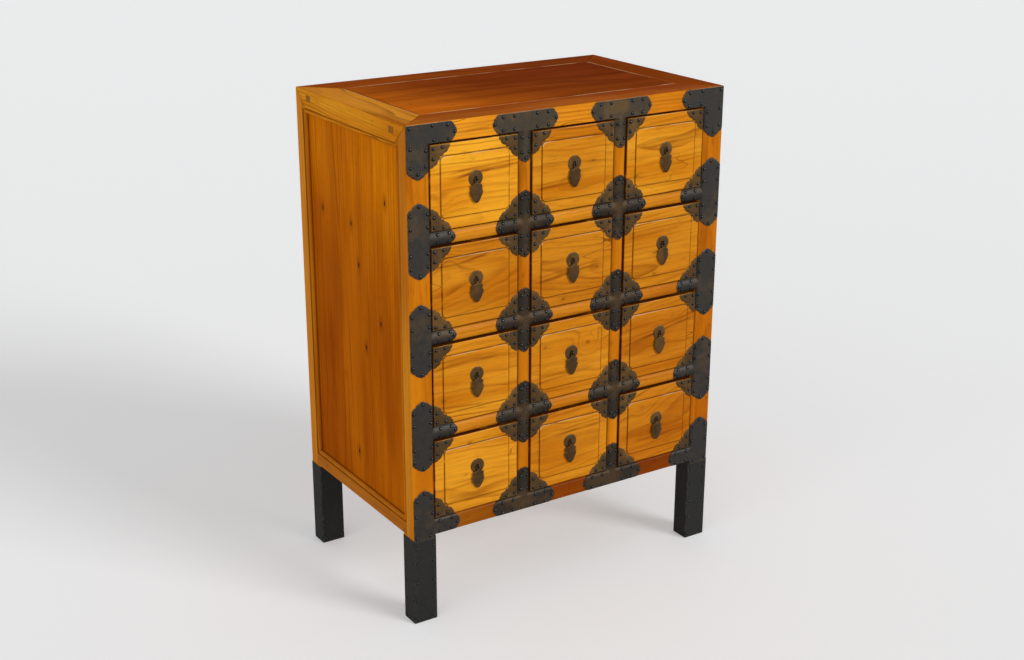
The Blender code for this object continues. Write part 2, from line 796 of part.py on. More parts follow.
def build_top_mounts(cabinet, looks):
    """T mounts over the dividers and angles at the corners, on the front of the top frame."""
    middle = UNDER_TOP + TOP_RAIL_HEIGHT / 2
    half = TOP_RAIL_HEIGHT / 2
    rows = across(TOP_RAIL_HEIGHT)
    reach = {"left": TOP_T_REACH, "right": TOP_T_REACH, "down": half + TOP_T_STEM}
    mesh = sheet_mesh("top_t_mount", across(DIVIDER_WIDTH), rows, divider_face, flat_face, reach)
    for column in range(COLUMNS - 1):
        place = (divider_middle(column), FRONT, middle)
        stand(f"top_t_mount_divider{column + 1}", mesh, looks["mount"], cabinet, place)
    for side, side_name in ((-1, "left"), (1, "right")):
        arm = "right" if side < 0 else "left"
        reach = {arm: POST_WIDTH / 2 + TOP_ANGLE_ARM, "down": half + TOP_ANGLE_DROP}
        name = f"top_angle_mount_{side_name}"
        mesh = sheet_mesh(name, post_columns(side), rows, post_face(side), flat_face, reach)
        stand(name, mesh, looks["mount"], cabinet, (side * POST_MIDDLE, FRONT, middle))


def sleeve_mesh(name, side, face):
    """Tube of sheet iron round a leg, from just above the floor to just under the rails."""
    centre_x = side * POST_MIDDLE
    centre_y = face * (DEPTH - POST_DEPTH) / 2
    low = SLEEVE_FOOT_ROOM
    inner = SLEEVE_GAP
    outer = SLEEVE_GAP + SLEEVE_IRON
    section = ((inner, low), (inner, SLEEVE_TOP), (outer, SLEEVE_TOP), (outer, low))
    loops = []
    for out, z in section:
        around = rectangle(POST_WIDTH / 2 + out, POST_DEPTH / 2 + out)
        loops.append([(centre_x + x, centre_y + y, z) for x, y in around])
    return lofted(loops, name, ring=True)


def build_bottom_mounts(cabinet, looks):
    """T mounts under the dividers, and corner angles that run down into the front leg sleeves."""
    half = BOTTOM_RAIL_HEIGHT / 2
    middle = LEG_CLEARANCE + half
    rows = rounded_across(BOTTOM_RAIL_HEIGHT, BOTTOM_RAIL_ROUND)
    columns = across(DIVIDER_WIDTH)
    reach = {"left": BOTTOM_T_REACH, "right": BOTTOM_T_REACH, "up": half + BOTTOM_T_STEM}
    mesh = sheet_mesh("bottom_t_mount", columns, rows, divider_face, bottom_rail_face, reach)
    for column in range(COLUMNS - 1):
        place = (divider_middle(column), FRONT, middle)
        stand(f"bottom_t_mount_divider{column + 1}", mesh, looks["mount"], cabinet, place)
    for side, side_name in ((-1, "left"), (1, "right")):
        arm = "right" if side < 0 else "left"
        reach = {
            arm: POST_WIDTH / 2 + BOTTOM_ANGLE_ARM,
            "up": half + BOTTOM_ANGLE_RISE,
            "down": middle - SEAM,
        }
        name = f"leg_sleeve_front_{side_name}"
        columns = post_columns(side)
        face = post_face(side)
        angle = sheet_mesh(name, columns, rows, face, bottom_rail_face, reach, ("down",))
        angle.transform(Matrix.Translation((side * POST_MIDDLE, FRONT, middle)))
        mesh = fused(name, [sleeve_mesh(name, side, -1), angle], smooth=True)
        stand(name, mesh, looks["sleeve"], cabinet)
        back_name = f"leg_sleeve_back_{side_name}"
        stand(back_name, sleeve_mesh(back_name, side, 1), looks["sleeve"], cabinet)


def main():
    for obj in list(bpy.data.objects):
        bpy.data.objects.remove(obj)
    looks = finishes()
    cabinet = bpy.data.objects.new("cabinet", None)
    bpy.context.scene.collection.objects.link(cabinet)
    build_posts(cabinet, looks)
    build_top_frame(cabinet, looks)
    build_top_panel(cabinet, looks)
    build_side_panels(cabinet, looks)
    build_back_panel(cabinet, looks)
    build_decks(cabinet, looks)
    build_drawers(cabinet, looks)
    build_crosses(cabinet, looks)
    build_side_mounts(cabinet, looks)
    build_top_mounts(cabinet, looks)
    build_bottom_mounts(cabinet, looks)


main()
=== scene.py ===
"""Looks of a chest of twelve small drawers in elm with iron mounts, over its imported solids.

Every piece is a surface worked out with numpy in metres: x to the right, y to the back, z up.
"""

import math

import bmesh
import bpy
import numpy as np
from mathutils import Matrix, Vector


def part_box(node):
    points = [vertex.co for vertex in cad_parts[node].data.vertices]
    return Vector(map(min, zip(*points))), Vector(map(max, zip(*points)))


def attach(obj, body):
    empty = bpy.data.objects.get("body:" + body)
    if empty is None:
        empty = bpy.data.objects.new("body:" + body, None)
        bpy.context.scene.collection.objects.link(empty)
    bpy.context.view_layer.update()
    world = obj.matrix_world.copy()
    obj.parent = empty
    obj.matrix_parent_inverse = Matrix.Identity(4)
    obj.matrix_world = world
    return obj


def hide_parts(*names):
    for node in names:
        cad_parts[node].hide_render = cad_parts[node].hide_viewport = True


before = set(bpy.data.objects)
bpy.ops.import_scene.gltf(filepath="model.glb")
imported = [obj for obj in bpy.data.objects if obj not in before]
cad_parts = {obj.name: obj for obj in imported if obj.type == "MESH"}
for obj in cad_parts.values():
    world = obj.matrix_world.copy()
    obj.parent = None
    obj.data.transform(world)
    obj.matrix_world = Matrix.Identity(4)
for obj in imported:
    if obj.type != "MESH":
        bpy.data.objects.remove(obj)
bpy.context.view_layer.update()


def extent(node):
    """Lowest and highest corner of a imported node."""
    low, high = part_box(node)
    return np.array(low), np.array(high)


# Main sizes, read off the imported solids
_, POST_HIGH = extent("post_front_left")
TOP_LOW, TOP_HIGH = extent("top_frame")
PANEL_LOW, PANEL_HIGH = extent("side_panel_left")
BACK_LOW, BACK_HIGH = extent("back_panel")
SIDE = TOP_HIGH[0]
FRONT = TOP_LOW[1]
REAR = TOP_HIGH[1]
HEIGHT = TOP_HIGH[2]
UNDER_TOP = TOP_LOW[2]
POST_INNER = -POST_HIGH[0]
POST_WIDTH = SIDE - POST_INNER
POST_DEPTH = POST_HIGH[1] - FRONT
POST_MIDDLE = (SIDE + POST_INNER) / 2
POST_END = REAR - POST_DEPTH
TOP_HIGH_RAIL = HEIGHT - UNDER_TOP

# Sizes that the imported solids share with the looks
COLUMNS = 3
ROWS = 4
GAP = 0.0003
TOP_MEMBER = 0.058
TOP_PANEL = 0.012
RAIL = 0.023
RAIL_DEPTH = 0.024
DIVIDER = 0.0245
CROWN = 0.005
POST_ROUND = 0.005
LEG_CLEARANCE = 0.152
BOTTOM_RAIL = 0.028
BOTTOM_ROUND = 0.006
BOARD = 0.010
PARTITION = 0.012
GUIDE_HEIGHT = 0.010
GUIDE_WIDTH = 0.008
SETBACK = 0.0004
BORDER_SIDE = 0.0175
BORDER_TOP = 0.0185
BORDER_RISE = 0.0008
FIELD_RISE = 0.0011
FIELD_CORNER = 0.007
FRONT_THICK = 0.015
TRAY_WALL = 0.009
TRAY_BOTTOM = 0.006
TRAY_LOWER = 0.011
PULL_RISE = 0.0077
PLATE_RADIUS = 0.0125
PLATE_THICK = 0.001
STAPLE_WIRE = 0.00094
STAPLE_RADIUS = 0.0027
STAPLE_STAND = 0.0022
DROP_THICK = 0.0016
DROP_LENGTH = 0.0385
DROP_WIDTH = 0.0212
IRON = 0.0012
SEAM = 0.145
SLEEVE_TOP = 0.1497
SLEEVE_FOOT = 0.0004

OPENING_WIDTH = (2 * POST_INNER - (COLUMNS - 1) * DIVIDER) / COLUMNS
OPENING_HEIGHT = (UNDER_TOP - LEG_CLEARANCE - BOTTOM_RAIL - (ROWS - 1) * RAIL) / ROWS
FACE = FRONT + SETBACK
BOTTOM_MIDDLE = LEG_CLEARANCE + BOTTOM_RAIL / 2
TOP_MIDDLE = (UNDER_TOP + HEIGHT) / 2

# Looks of edges: how round a plain edge is, and how wide the band of dirt or wear beside it is
EASE = 0.0007
BAND = 0.0012
ARC_STEPS = 3


def column_middle(column):
    return -POST_INNER + OPENING_WIDTH / 2 + column * (OPENING_WIDTH + DIVIDER)


def divider_middle(column):
    return column_middle(column) + (OPENING_WIDTH + DIVIDER) / 2


def deck_top(row):
    return UNDER_TOP - (row + 1) * OPENING_HEIGHT - row * RAIL


# Surfaces


class Surface:
    """Points and quads of one surface, with the values that its points carry for the materials."""

    def __init__(self, points, quads, **marks):
        self.points = np.asarray(points, float).reshape(-1, 3)
        self.quads = np.asarray(quads, int).reshape(-1, 4)
        self.marks = marks

    def moved(self, x=0, y=0, z=0):
        return Surface(self.points + (x, y, z), self.quads, **self.marks)

    def marked(self, **marks):
        """The same surface, with more values for its points."""
        return Surface(self.points, self.quads, **self.marks | marks)


def grid_quads(rows, columns, closed=False):
    """Quads of a grid of points in rows: each joins a point to the next in its row and in the next row."""
    first = np.arange(rows - 1)[:, None] * columns
    here = np.arange(columns if closed else columns - 1)[None, :]
    there = (here + 1) % columns
    corners = (first + here, first + there, first + columns + there, first + columns + here)
    return np.stack(corners, axis=-1).reshape(-1, 4)


def grid_surface(points, closed=False, **marks):
    """The surface over a grid of points in rows, closed round its rows where that is asked."""
    return Surface(points, grid_quads(*points.shape[:2], closed=closed), **marks)


def circle(steps):
    """Angles round a circle in even steps."""
    return 2 * np.pi * np.arange(steps) / steps


def gathered(surfaces, mark, blank):
    """One value for every point of several surfaces, blank where a surface doesn't carry the mark."""
    width = np.size(blank)
    parts = []
    for surface in surfaces:
        count = len(surface.points)
        value = np.asarray(surface.marks.get(mark, blank), float)
        if value.ndim == 0 or value.shape == (width,) and width > 1:
            value = np.broadcast_to(value, (count, width))
        parts.append(value.reshape(count, width))
    return np.concatenate(parts)


BLANKS = {"grain": (0, 0, 0), "knot": (1, 1, 0), "streak": (1, 1, 0), "crease": 0, "worn": 0, "tone": 0, "brown": 0}


def mesh_of(name, surfaces, set_back=0):
    """One mesh of several surfaces: doubles are merged, and normals point outwards.

    With set_back, the surfaces are the fronts of plates that are this thick.
    """
    starts = np.cumsum([0] + [len(surface.points) for surface in surfaces])
    points = np.concatenate([surface.points for surface in surfaces])
    quads = np.concatenate([s.quads + start for s, start in zip(surfaces, starts)])
    mesh = bpy.data.meshes.new(name)
    mesh.vertices.add(len(points))
    mesh.vertices.foreach_set("co", points.astype(np.float32).ravel())
    mesh.loops.add(quads.size)
    mesh.loops.foreach_set("vertex_index", quads.astype(np.int32).ravel())
    mesh.polygons.add(len(quads))
    mesh.polygons.foreach_set("loop_start", np.arange(0, quads.size, 4, dtype=np.int32))
    mesh.update(calc_edges=True)
    carried = sorted({mark for surface in surfaces for mark in surface.marks})
    for mark in carried:
        blank = BLANKS[mark]
        values = gathered(surfaces, mark, blank).astype(np.float32)
        if np.size(blank) == 3:
            mesh.attributes.new(mark, "FLOAT_VECTOR", "POINT").data.foreach_set("vector", values.ravel())
        else:
            mesh.attributes.new(mark, "FLOAT", "POINT").data.foreach_set("value", values.ravel())
    bm = bmesh.new()
    bm.from_mesh(mesh)
    bmesh.ops.remove_doubles(bm, verts=bm.verts, dist=1e-6)
    if set_back:
        grown = bmesh.ops.extrude_face_region(bm, geom=list(bm.faces), use_keep_orig=True)
        behind = [part for part in grown["geom"] if isinstance(part, bmesh.types.BMVert)]
        bmesh.ops.translate(bm, verts=behind, vec=(0, set_back, 0))
    bmesh.ops.recalc_face_normals(bm, faces=bm.faces)
    bm.to_mesh(mesh)
    bm.free()
    return mesh


SHARP_ANGLE = math.radians(38)


def piece(name, surfaces, body, finish, stands_for=(), set_back=0):
    """A finished piece at the origin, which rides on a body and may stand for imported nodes."""
    mesh = mesh_of(name, surfaces, set_back)
    mesh.shade_smooth()
    mesh.set_sharp_from_angle(angle=SHARP_ANGLE)
    mesh.materials.append(finish)
    made = bpy.data.objects.new(name, mesh)
    bpy.context.scene.collection.objects.link(made)
    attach(made, body)
    if stands_for:
        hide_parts(*stands_for)


# Boards and bars


def arc(start, turn, steps=ARC_STEPS):
    """Angles from start over turn, in even steps, both ends among them."""
    return start + turn * np.arange(steps + 1) / steps


def rounded_section(half_u, half_v, radii, band=BAND):
    """Section with four round corners, and a point a little past each so that marks stay near the edge.

    A corner's points lie on a circle about its own centre. Corners run from plus-plus anticlockwise.
    Gives the points, and for each the number of its corner or -1.
    """
    points = []
    corner = []
    for number, (su, sv) in enumerate(((1, 1), (-1, 1), (-1, -1), (1, -1))):
        radius = radii[number]
        centre = np.array((su * (half_u - radius), sv * (half_v - radius)))
        angles = arc(number * math.pi / 2, math.pi / 2)
        rounded = centre + radius * np.stack((np.cos(angles), np.sin(angles)), axis=1)
        before = rounded[0] + (0, -sv * band) if number % 2 == 0 else rounded[0] + (-su * band, 0)
        after = rounded[-1] + (-su * band, 0) if number % 2 == 0 else rounded[-1] + (0, -sv * band)
        points += [before, *rounded, after]
        corner += [-1, *[number] * len(rounded), -1]
    return np.array(points), np.array(corner)


def bar(section, start, end, ease=EASE, crease_ends=1, stations=()):
    """A closed bar: its section runs from start to end, drawn in along a quarter circle at both ends.

    start and end are numbers, or one number for each point of the section where an end is cut at a
    slant. Stations are shares of the length with one more ring each, for a tone that isn't even.
    The columns of its points are the place along the bar and the two places across it.
    """
    middle = (section.max(0) + section.min(0)) / 2
    half = (section.max(0) - section.min(0)) / 2
    start = np.broadcast_to(start, len(section))
    end = np.broadcast_to(end, len(section))
    turn = arc(0, math.pi / 2)
    draws = ease * (1 - np.sin(turn))
    backs = ease * (1 - np.cos(turn))

    def drawn_in(by):
        return middle + (section - middle) * (1 - by / half)

    rings = [(np.full(len(section), start.mean()), drawn_in(half))]
    rings += [(start + back, drawn_in(by)) for by, back in zip(draws, backs)]
    rings.append((start + ease + BAND, section))
    rings += [(start + (end - start) * share, section) for share in stations]
    rings.append((end - ease - BAND, section))
    rings += [(end - back, drawn_in(by)) for by, back in zip(backs, draws)]
    rings.append((np.full(len(section), end.mean()), drawn_in(half)))
    at_end = 1 + len(turn)
    crease = [crease_ends] * at_end + [0] * (2 + len(stations)) + [crease_ends] * at_end
    points = np.array([np.column_stack((along, ring)) for along, ring in rings])
    quads = grid_quads(len(rings), len(section), closed=True)
    return points.reshape(-1, 3), quads, np.repeat(np.array(crease, float), len(section))


ORDERS = {"X": (0, 1, 2), "Y": (1, 0, 2), "Z": (1, 2, 0)}


def laid(points, quads, along, board, crease, tone=0, centre=(0, 0), **marks):
    """A bar put along an axis of the chest. Its grain runs along it, and starts at a place of its own."""
    grain = points.copy()
    grain[:, 1:] -= centre
    grain[:, 0] += np.random.default_rng(board).uniform(0, 40)
    return Surface(points[:, ORDERS[along]], quads, grain=grain, crease=crease, tone=tone, **marks)


def board(
    low, high, along, number, ease=EASE, ends=(None, None), tone=0, dust=(), crease_ends=1, stations=()
):
    """A plain board between two corners. An end may be cut: a function of the places across it.

    dust lists the corners of its section whose edges hold pale dust.
    """
    order = ORDERS[along]
    axes = [order.index(column) for column in range(3)]
    low = np.array(low)[axes]
    high = np.array(high)[axes]
    half = (high[1:] - low[1:]) / 2
    centre = (high[1:] + low[1:]) / 2
    ease = min(ease, *half * 0.8)
    section, corner = rounded_section(half[0], half[1], [ease] * 4, min(BAND, *(half - ease) * 0.9))
    section = section + centre
    start = low[0] if ends[0] is None else ends[0](section[:, 0], section[:, 1])
    end = high[0] if ends[1] is None else ends[1](section[:, 0], section[:, 1])
    points, quads, crease = bar(section, start, end, min(ease, (high[0] - low[0]) / 4), crease_ends, stations)
    rings = len(points) // len(section)
    worn = np.tile(np.isin(corner, dust).astype(float), rings)
    return laid(points, quads, along, number, crease, tone, centre, worn=worn)


# Moulding round each side: a groove, then a bead that leads down to the sunk panel
QUIRK = 0.0010
QUIRK_DEPTH = 0.0018
BEAD_SINK = 0.0003
POST_MOULD = 0.0100
RAIL_MOULD = 0.0088
TOP_MOULD = 0.0072
PANEL_SINK = 0.0062
PANEL_THICK = 0.0068
POST_PLAIN = POST_DEPTH - POST_MOULD
RAIL_MOULD_TOP = deck_top(ROWS - 1) + 0.0012


def moulding(width):
    """Groove and bead: two steps into the groove, then a circle over its crown down to the panel.

    Columns are the place across, from the groove's outer edge, and the depth behind the face.
    """
    radius = (width - QUIRK) / 2
    first = -math.acos(1 - (QUIRK_DEPTH - BEAD_SINK) / radius)
    turn = np.linspace(first, math.pi / 2, 10)
    circle = np.column_stack((QUIRK + radius * (1 + np.sin(turn)), BEAD_SINK + radius * (1 - np.cos(turn))))
    groove = ((0.0, 0.0), (0.0003, 0.0005), (0.0004, QUIRK_DEPTH - 0.0002))
    # Dirt in the groove, and painted shade where the bead meets the sunk panel
    crease = np.array((0.1, 0.35, 0.5, 0.35, 0.1, *[0.0] * 6, 0.1, 0.55))
    return np.vstack((groove, circle)), crease


def post_sections(inner_round):
    """Sections of a post: with its moulding, sunk where a rail's end lies over it, and plain.

    Columns are the depths behind its side face and its front or back face. Round corners are
    quarter circles. Also gives each point's dirt and painted shade, and its share of the way over the moulding.
    """
    quarter = arc(0, math.pi / 2)
    outer = EASE * np.column_stack((1 - np.sin(quarter), 1 - np.cos(quarter)))
    mould, dirt_and_shade = moulding(POST_MOULD)
    mould = np.vstack((mould[:, ::-1] + (0, POST_PLAIN), (PANEL_SINK + 0.0004, POST_DEPTH)))
    edge = (0, POST_PLAIN - 0.0002)
    far = (POST_WIDTH - EASE, POST_DEPTH - EASE) + EASE * np.column_stack((np.sin(quarter), np.cos(quarter)))
    turn = arc(0, math.pi / 2, 6)
    rounded = inner_round * np.column_stack((np.cos(turn), -np.sin(turn)))
    near = (POST_WIDTH - inner_round, inner_round) + rounded
    beaded = np.vstack((outer, (0, EASE + BAND), edge, mould, far, near, (EASE + BAND, 0)))
    first = len(outer) + 2
    over = slice(first, first + len(mould))
    crease = np.zeros(len(beaded))
    # The point at the sunk panel carries painted shade
    crease[over] = (*dirt_and_shade, 0.55)
    share = np.zeros(len(beaded))
    share[over] = (mould[:, 1] - POST_PLAIN) / POST_MOULD
    sunk = beaded.copy()
    sunk[over, 0] = PANEL_SINK + 0.0015
    plain = beaded.copy()
    plain[over, 0] = 0
    return beaded, sunk, plain, crease, share


def rail_section(low, high, depth, width):
    """Section of a side rail with the moulding along its upper edge: columns are depth and height."""
    mould, dirt_and_shade = moulding(width)
    mould = mould[:, ::-1] + (0, high - width)
    first = ((EASE, low), (EASE * 0.3, low + EASE * 0.3), (0, low + EASE), (0, low + EASE + BAND))
    section = np.vstack((first, mould, (PANEL_SINK + 0.0004, high), (depth, high), (depth, low)))
    # The point at the sunk panel carries painted shade
    crease = np.array((*[0.0] * len(first), *dirt_and_shade, 0.5, 0.0, 0.0))
    share = np.clip((section[:, 1] - high + width) / width, 0, 1)
    return section, crease, share


# Tones between which no colour of the wood turns negative or white
LOWEST_TONE = -1.5
HIGHEST_TONE = 5.0


def shaded(surface, tone):
    """The same surface with a tone of its own at each point, a function of its place."""
    return surface.marked(tone=np.clip(tone(*surface.points.T), LOWEST_TONE, HIGHEST_TONE))


def streak_mark(x, z, middle_x, middle_z, slope, half_length, strength):
    """Where points lie to a dark streak: how far beside its line, and the share of its half length."""
    past = x - middle_x
    return np.column_stack((z - middle_z - slope * past, past / half_length, np.full(len(x), strength)))


def edge_dirt_and_shade(offset, width, upper, lower):
    """Old dirt and painted gap shade along a round face's edges: stronger towards one side than towards the other.
    """
    past = np.clip((np.abs(offset) - 0.39 * width) / (0.04 * width), 0, 1)
    return past * np.where(offset > 0, upper, lower)


def crown_depth(offset, width):
    """How far a shallow round face lies behind its crown: a circle through both edges and the crown."""
    radius = ((width / 2) ** 2 + CROWN**2) / (2 * CROWN)
    return radius - np.sqrt(np.maximum(radius**2 - offset**2, 0))


def edge_depth(past, radius):
    """How far a rounded edge lies behind the face, past the line where its circle starts."""
    inside = np.clip(past, 0, radius)
    return radius - np.sqrt(np.maximum(radius**2 - inside**2, 0)) + np.maximum(past - radius, 0) * 4


def crowned_section(width, depth):
    """Section with a shallow round face to the front: columns are the depth and the place across."""
    offset = np.linspace(-width / 2, width / 2, 21)
    face = np.column_stack((FRONT + crown_depth(offset, width), offset))
    return np.vstack((face, (FRONT + depth, width / 2), (FRONT + depth, -width / 2)))


# Materials


def paint(red, green, blue):
    """Linear colour of a screen colour from 0 to 255."""
    share = np.array((red, green, blue)) / 255
    linear = np.where(share > 0.04045, ((share + 0.055) / 1.055) ** 2.4, share / 12.92)
    return (*(float(value) for value in linear), 1.0)


class Wiring:
    """Adds nodes to one tree and joins them: an input may be a number, a colour or another socket."""

    def __init__(self, tree):
        self.tree = tree

    def fill(self, socket, value):
        if isinstance(value, bpy.types.NodeSocket):
            self.tree.links.new(value, socket)
        else:
            socket.default_value = value

    def node(self, kind, inputs=None, **settings):
        made = self.tree.nodes.new(kind)
        for name, value in settings.items():
            setattr(made, name, value)
        for key, value in (inputs or {}).items():
            self.fill(made.inputs[key], value)
        return made

    def give(self, target, **values):
        """Fills sockets of a node by their names, in which a space is written as an underscore."""
        for name, value in values.items():
            self.fill(target.inputs[name.replace("_", " ")], value)

    def math(self, operation, first, second=0.0, clamp=False):
        return self.node("ShaderNodeMath", {0: first, 1: second}, operation=operation, use_clamp=clamp).outputs[0]

    def chain(self, operation, values, clamp):
        total = values[0]
        for value in values[1:-1]:
            total = self.math(operation, total, value)
        return self.math(operation, total, values[-1], clamp)

    def plus(self, *terms, clamp=False):
        return self.chain("ADD", terms, clamp)

    def times(self, *factors, clamp=False):
        return self.chain("MULTIPLY", factors, clamp)

    def minus(self, first, second):
        return self.math("SUBTRACT", first, second)

    def size(self, value):
        return self.math("ABSOLUTE", value)

    def square(self, value):
        return self.math("POWER", value, 2.0)

    def distance(self, first, second):
        """Length of the slant over two sides: the root of the sum of their squares."""
        return self.math("SQRT", self.plus(self.square(first), self.square(second)))

    def bell(self, value, width):
        """1 at zero, and e to the power of minus the square of value over width."""
        return self.math("EXPONENT", self.times(self.square(self.math("DIVIDE", value, width)), -1.0))

    def step(self, value, low, high):
        """Smooth step from 0 at low to 1 at high."""
        inputs = {"Value": value, "From Min": low, "From Max": high}
        return self.node("ShaderNodeMapRange", inputs, interpolation_type="SMOOTHSTEP").outputs[0]

    def fade(self, value, low, high):
        """Smooth step from 1 at low to 0 at high."""
        return self.minus(1.0, self.step(value, low, high))

    def noise(self, vector, scale=1.0, detail=2.0, roughness=0.5):
        inputs = {"Vector": vector, "Scale": scale, "Detail": detail, "Roughness": roughness}
        return self.node("ShaderNodeTexNoise", inputs).outputs["Fac"]

    def split(self, vector):
        return tuple(self.node("ShaderNodeSeparateXYZ", {0: vector}).outputs)

    def vector(self, x, y, z=0.0):
        return self.node("ShaderNodeCombineXYZ", {0: x, 1: y, 2: z}).outputs[0]

    def scaled(self, vector, scale):
        return self.node("ShaderNodeVectorMath", {0: vector, 1: scale}, operation="MULTIPLY").outputs[0]

    def blend(self, share, first, second):
        made = self.node("ShaderNodeMix", data_type="RGBA")
        for number, value in ((0, share), (6, first), (7, second)):
            self.fill(made.inputs[number], value)
        return made.outputs[2]

    def dimmed(self, colour, share):
        """The colour times a number that may be over one."""
        return self.node("ShaderNodeVectorMath", {0: colour, "Scale": share}, operation="SCALE").outputs[0]


RESULTS = (("Color", "Color"), ("Roughness", "Float"), ("Height", "Float"))


def node_group(name, given):
    """A node group with named inputs, which gives a colour, a roughness and a height."""
    group = bpy.data.node_groups.new(name, "ShaderNodeTree")
    for label, kind, value in given:
        socket = group.interface.new_socket(label, in_out="INPUT", socket_type=f"NodeSocket{kind}")
        if value is not None:
            socket.default_value = value
    for label, kind in RESULTS:
        group.interface.new_socket(label, in_out="OUTPUT", socket_type=f"NodeSocket{kind}")
    inputs = group.nodes.new("NodeGroupInput").outputs
    return group, Wiring(group), inputs, group.nodes.new("NodeGroupOutput")


def elm_figure():
    """Figure of oiled elm, along the first number of the grain.

    The rings are circles about a pith that wanders beside the board: the distance to it, bent by
    slow noise and raised round a knot, is cut into rings, each with a late line of its own strength.
    Broad streaks, fibres, small knots and fine cracks are noise drawn out along the grain.
    """
    given = (
        ("Grain", "Vector", None), ("Knot", "Vector", (1, 1, 0)), ("Streak", "Vector", (1, 1, 0)),
        ("Crease", "Float", 0.0), ("Worn", "Float", 0.0), ("Tone", "Float", 0.0),
        ("Light", "Color", None), ("Dark", "Color", None), ("Line", "Color", None),
        ("Ring Width", "Float", 0.006), ("Pith Depth", "Float", 0.05), ("Wander", "Float", 0.02),
        ("Lines", "Float", 0.5), ("Streaks", "Float", 1.0), ("Specks", "Float", 0.3), ("Cracks", "Float", 0.4),
    )
    group, w, g, out = node_group("elm_figure", given)
    along, wide, deep = w.split(g["Grain"])

    def drawn(lengthwise, across, detail=2.0, roughness=0.5):
        """Noise drawn out along the grain."""
        return w.noise(w.scaled(g["Grain"], (lengthwise, across, across)), 1.0, detail, roughness)

    def wander(pace, y, z, reach):
        """How far the pith lies off at a place along the board: slow noise on a line of its own."""
        path = w.vector(w.times(along, pace), y, z)
        return w.times(w.minus(w.noise(path, detail=0.0), 0.5), reach)

    # Rings about the pith, and the hump that a big knot makes in them
    away_wide = w.minus(wide, wander(1.1, 3.7, 8.1, 0.16))
    away_deep = w.plus(deep, g["Pith Depth"], wander(1.7, 21.3, 5.5, 0.05))
    bend = w.times(w.minus(drawn(3.2, 11.0, 2.5), 0.5), g["Wander"])
    knot_x, knot_z, knot_strength = w.split(g["Knot"])
    spread = w.distance(knot_x, knot_z)
    hump = w.times(w.bell(spread, 0.021), knot_strength, 0.022)
    ring = w.math("DIVIDE", w.plus(w.distance(away_wide, away_deep), bend, hump), g["Ring Width"])
    number = w.math("FLOOR", ring)
    share = w.minus(ring, number)
    luck = w.node("ShaderNodeTexWhiteNoise", {"W": number}, noise_dimensions="1D").outputs["Value"]
    late = w.minus(w.step(share, 0.35, 0.93), w.step(share, 0.93, 1.0))
    broken = w.plus(w.times(w.step(drawn(5.0, 60.0, 1.0), 0.3, 0.62), 0.75), 0.25)
    line = w.times(late, w.math("POWER", luck, 1.6), g["Lines"], broken)

    # Broad streaks, fibres and pores
    broad = w.times(drawn(2.6, 24.0, 3.0, 0.55), 0.7)
    cloud = w.times(drawn(5.0, 9.0, 1.0), 0.3)
    streak = w.times(w.step(w.plus(broad, cloud), 0.36, 0.66), g["Streaks"])
    fibre = drawn(14.0, 330.0)
    pores = w.step(drawn(60.0, 900.0, 0.0), 0.66, 0.78)

    # Small knots: a few chosen cells, each a dark spot in a halo
    face_place = w.vector(w.times(along, 15.0), w.times(w.plus(wide, deep), 30.0))
    cells = w.node("ShaderNodeTexVoronoi", {"Vector": face_place, "Scale": 1.0}, voronoi_dimensions="2D").outputs
    chosen = w.node("ShaderNodeSeparateColor", {0: cells["Color"]}).outputs[0]
    rare = w.times(w.step(chosen, 0.87, 0.90), g["Specks"])
    speck = w.times(w.fade(cells["Distance"], 0.03, 0.10), rare)
    shade = w.times(w.fade(cells["Distance"], 0.08, 0.34), rare, 0.35)

    # Fine cracks, where slow noise passes through one value, and the dark heart of a big knot
    thin = w.fade(w.size(w.minus(drawn(3.4, 17.0), 0.56)), 0.0, 0.0055)
    crack = w.times(thin, w.step(drawn(7.0, 9.0, 1.0), 0.50, 0.60), g["Cracks"])
    heart = w.times(w.fade(spread, 0.001, 0.0075), knot_strength, clamp=True)

    # One dark streak with a thin line beside it, which a board may carry at a place of its own
    beside, past, strength = w.split(g["Streak"])
    off = w.plus(beside, w.times(w.minus(drawn(12.0, 26.0), 0.5), 0.013))
    mark = w.plus(w.bell(off, 0.0024), w.times(w.bell(w.minus(off, 0.0075), 0.0015), 0.7))
    patchy = w.plus(w.step(drawn(14.0, 6.0, 1.0), 0.36, 0.6), 0.35)
    mark = w.times(mark, w.fade(w.size(past), 0.55, 1.0), patchy, strength)

    colour = w.blend(streak, g["Light"], g["Dark"])
    colour = w.blend(w.plus(line, shade, clamp=True), colour, g["Line"])
    colour = w.blend(w.times(mark, 0.75, clamp=True), colour, g["Line"])
    deep_line = w.dimmed(g["Line"], 0.30)
    colour = w.blend(w.times(crack, 0.85), colour, deep_line)
    colour = w.blend(speck, colour, deep_line)
    colour = w.blend(w.times(heart, 0.55), colour, w.dimmed(g["Line"], 0.7))
    grainy = w.plus(w.times(w.minus(fibre, 0.5), 0.34), 1.0)
    grainy = w.minus(grainy, w.times(pores, 0.22))
    tone = w.scaled(w.vector(g["Tone"], g["Tone"], g["Tone"]), TONE_SHARES)
    tone = w.node("ShaderNodeVectorMath", {0: tone, 1: (1.0, 1.0, 1.0)}, operation="ADD").outputs[0]
    colour = w.scaled(w.dimmed(colour, grainy), tone)
    # Darker in creases: dirt, and painted shade where the crease mark stands for shade in a gap or at a joint
    dirt_and_shade = w.times(g["Crease"], w.step(drawn(30.0, 60.0), 0.15, 0.45))
    colour = w.blend(w.times(dirt_and_shade, 0.92, clamp=True), colour, paint(56, 18, 6))
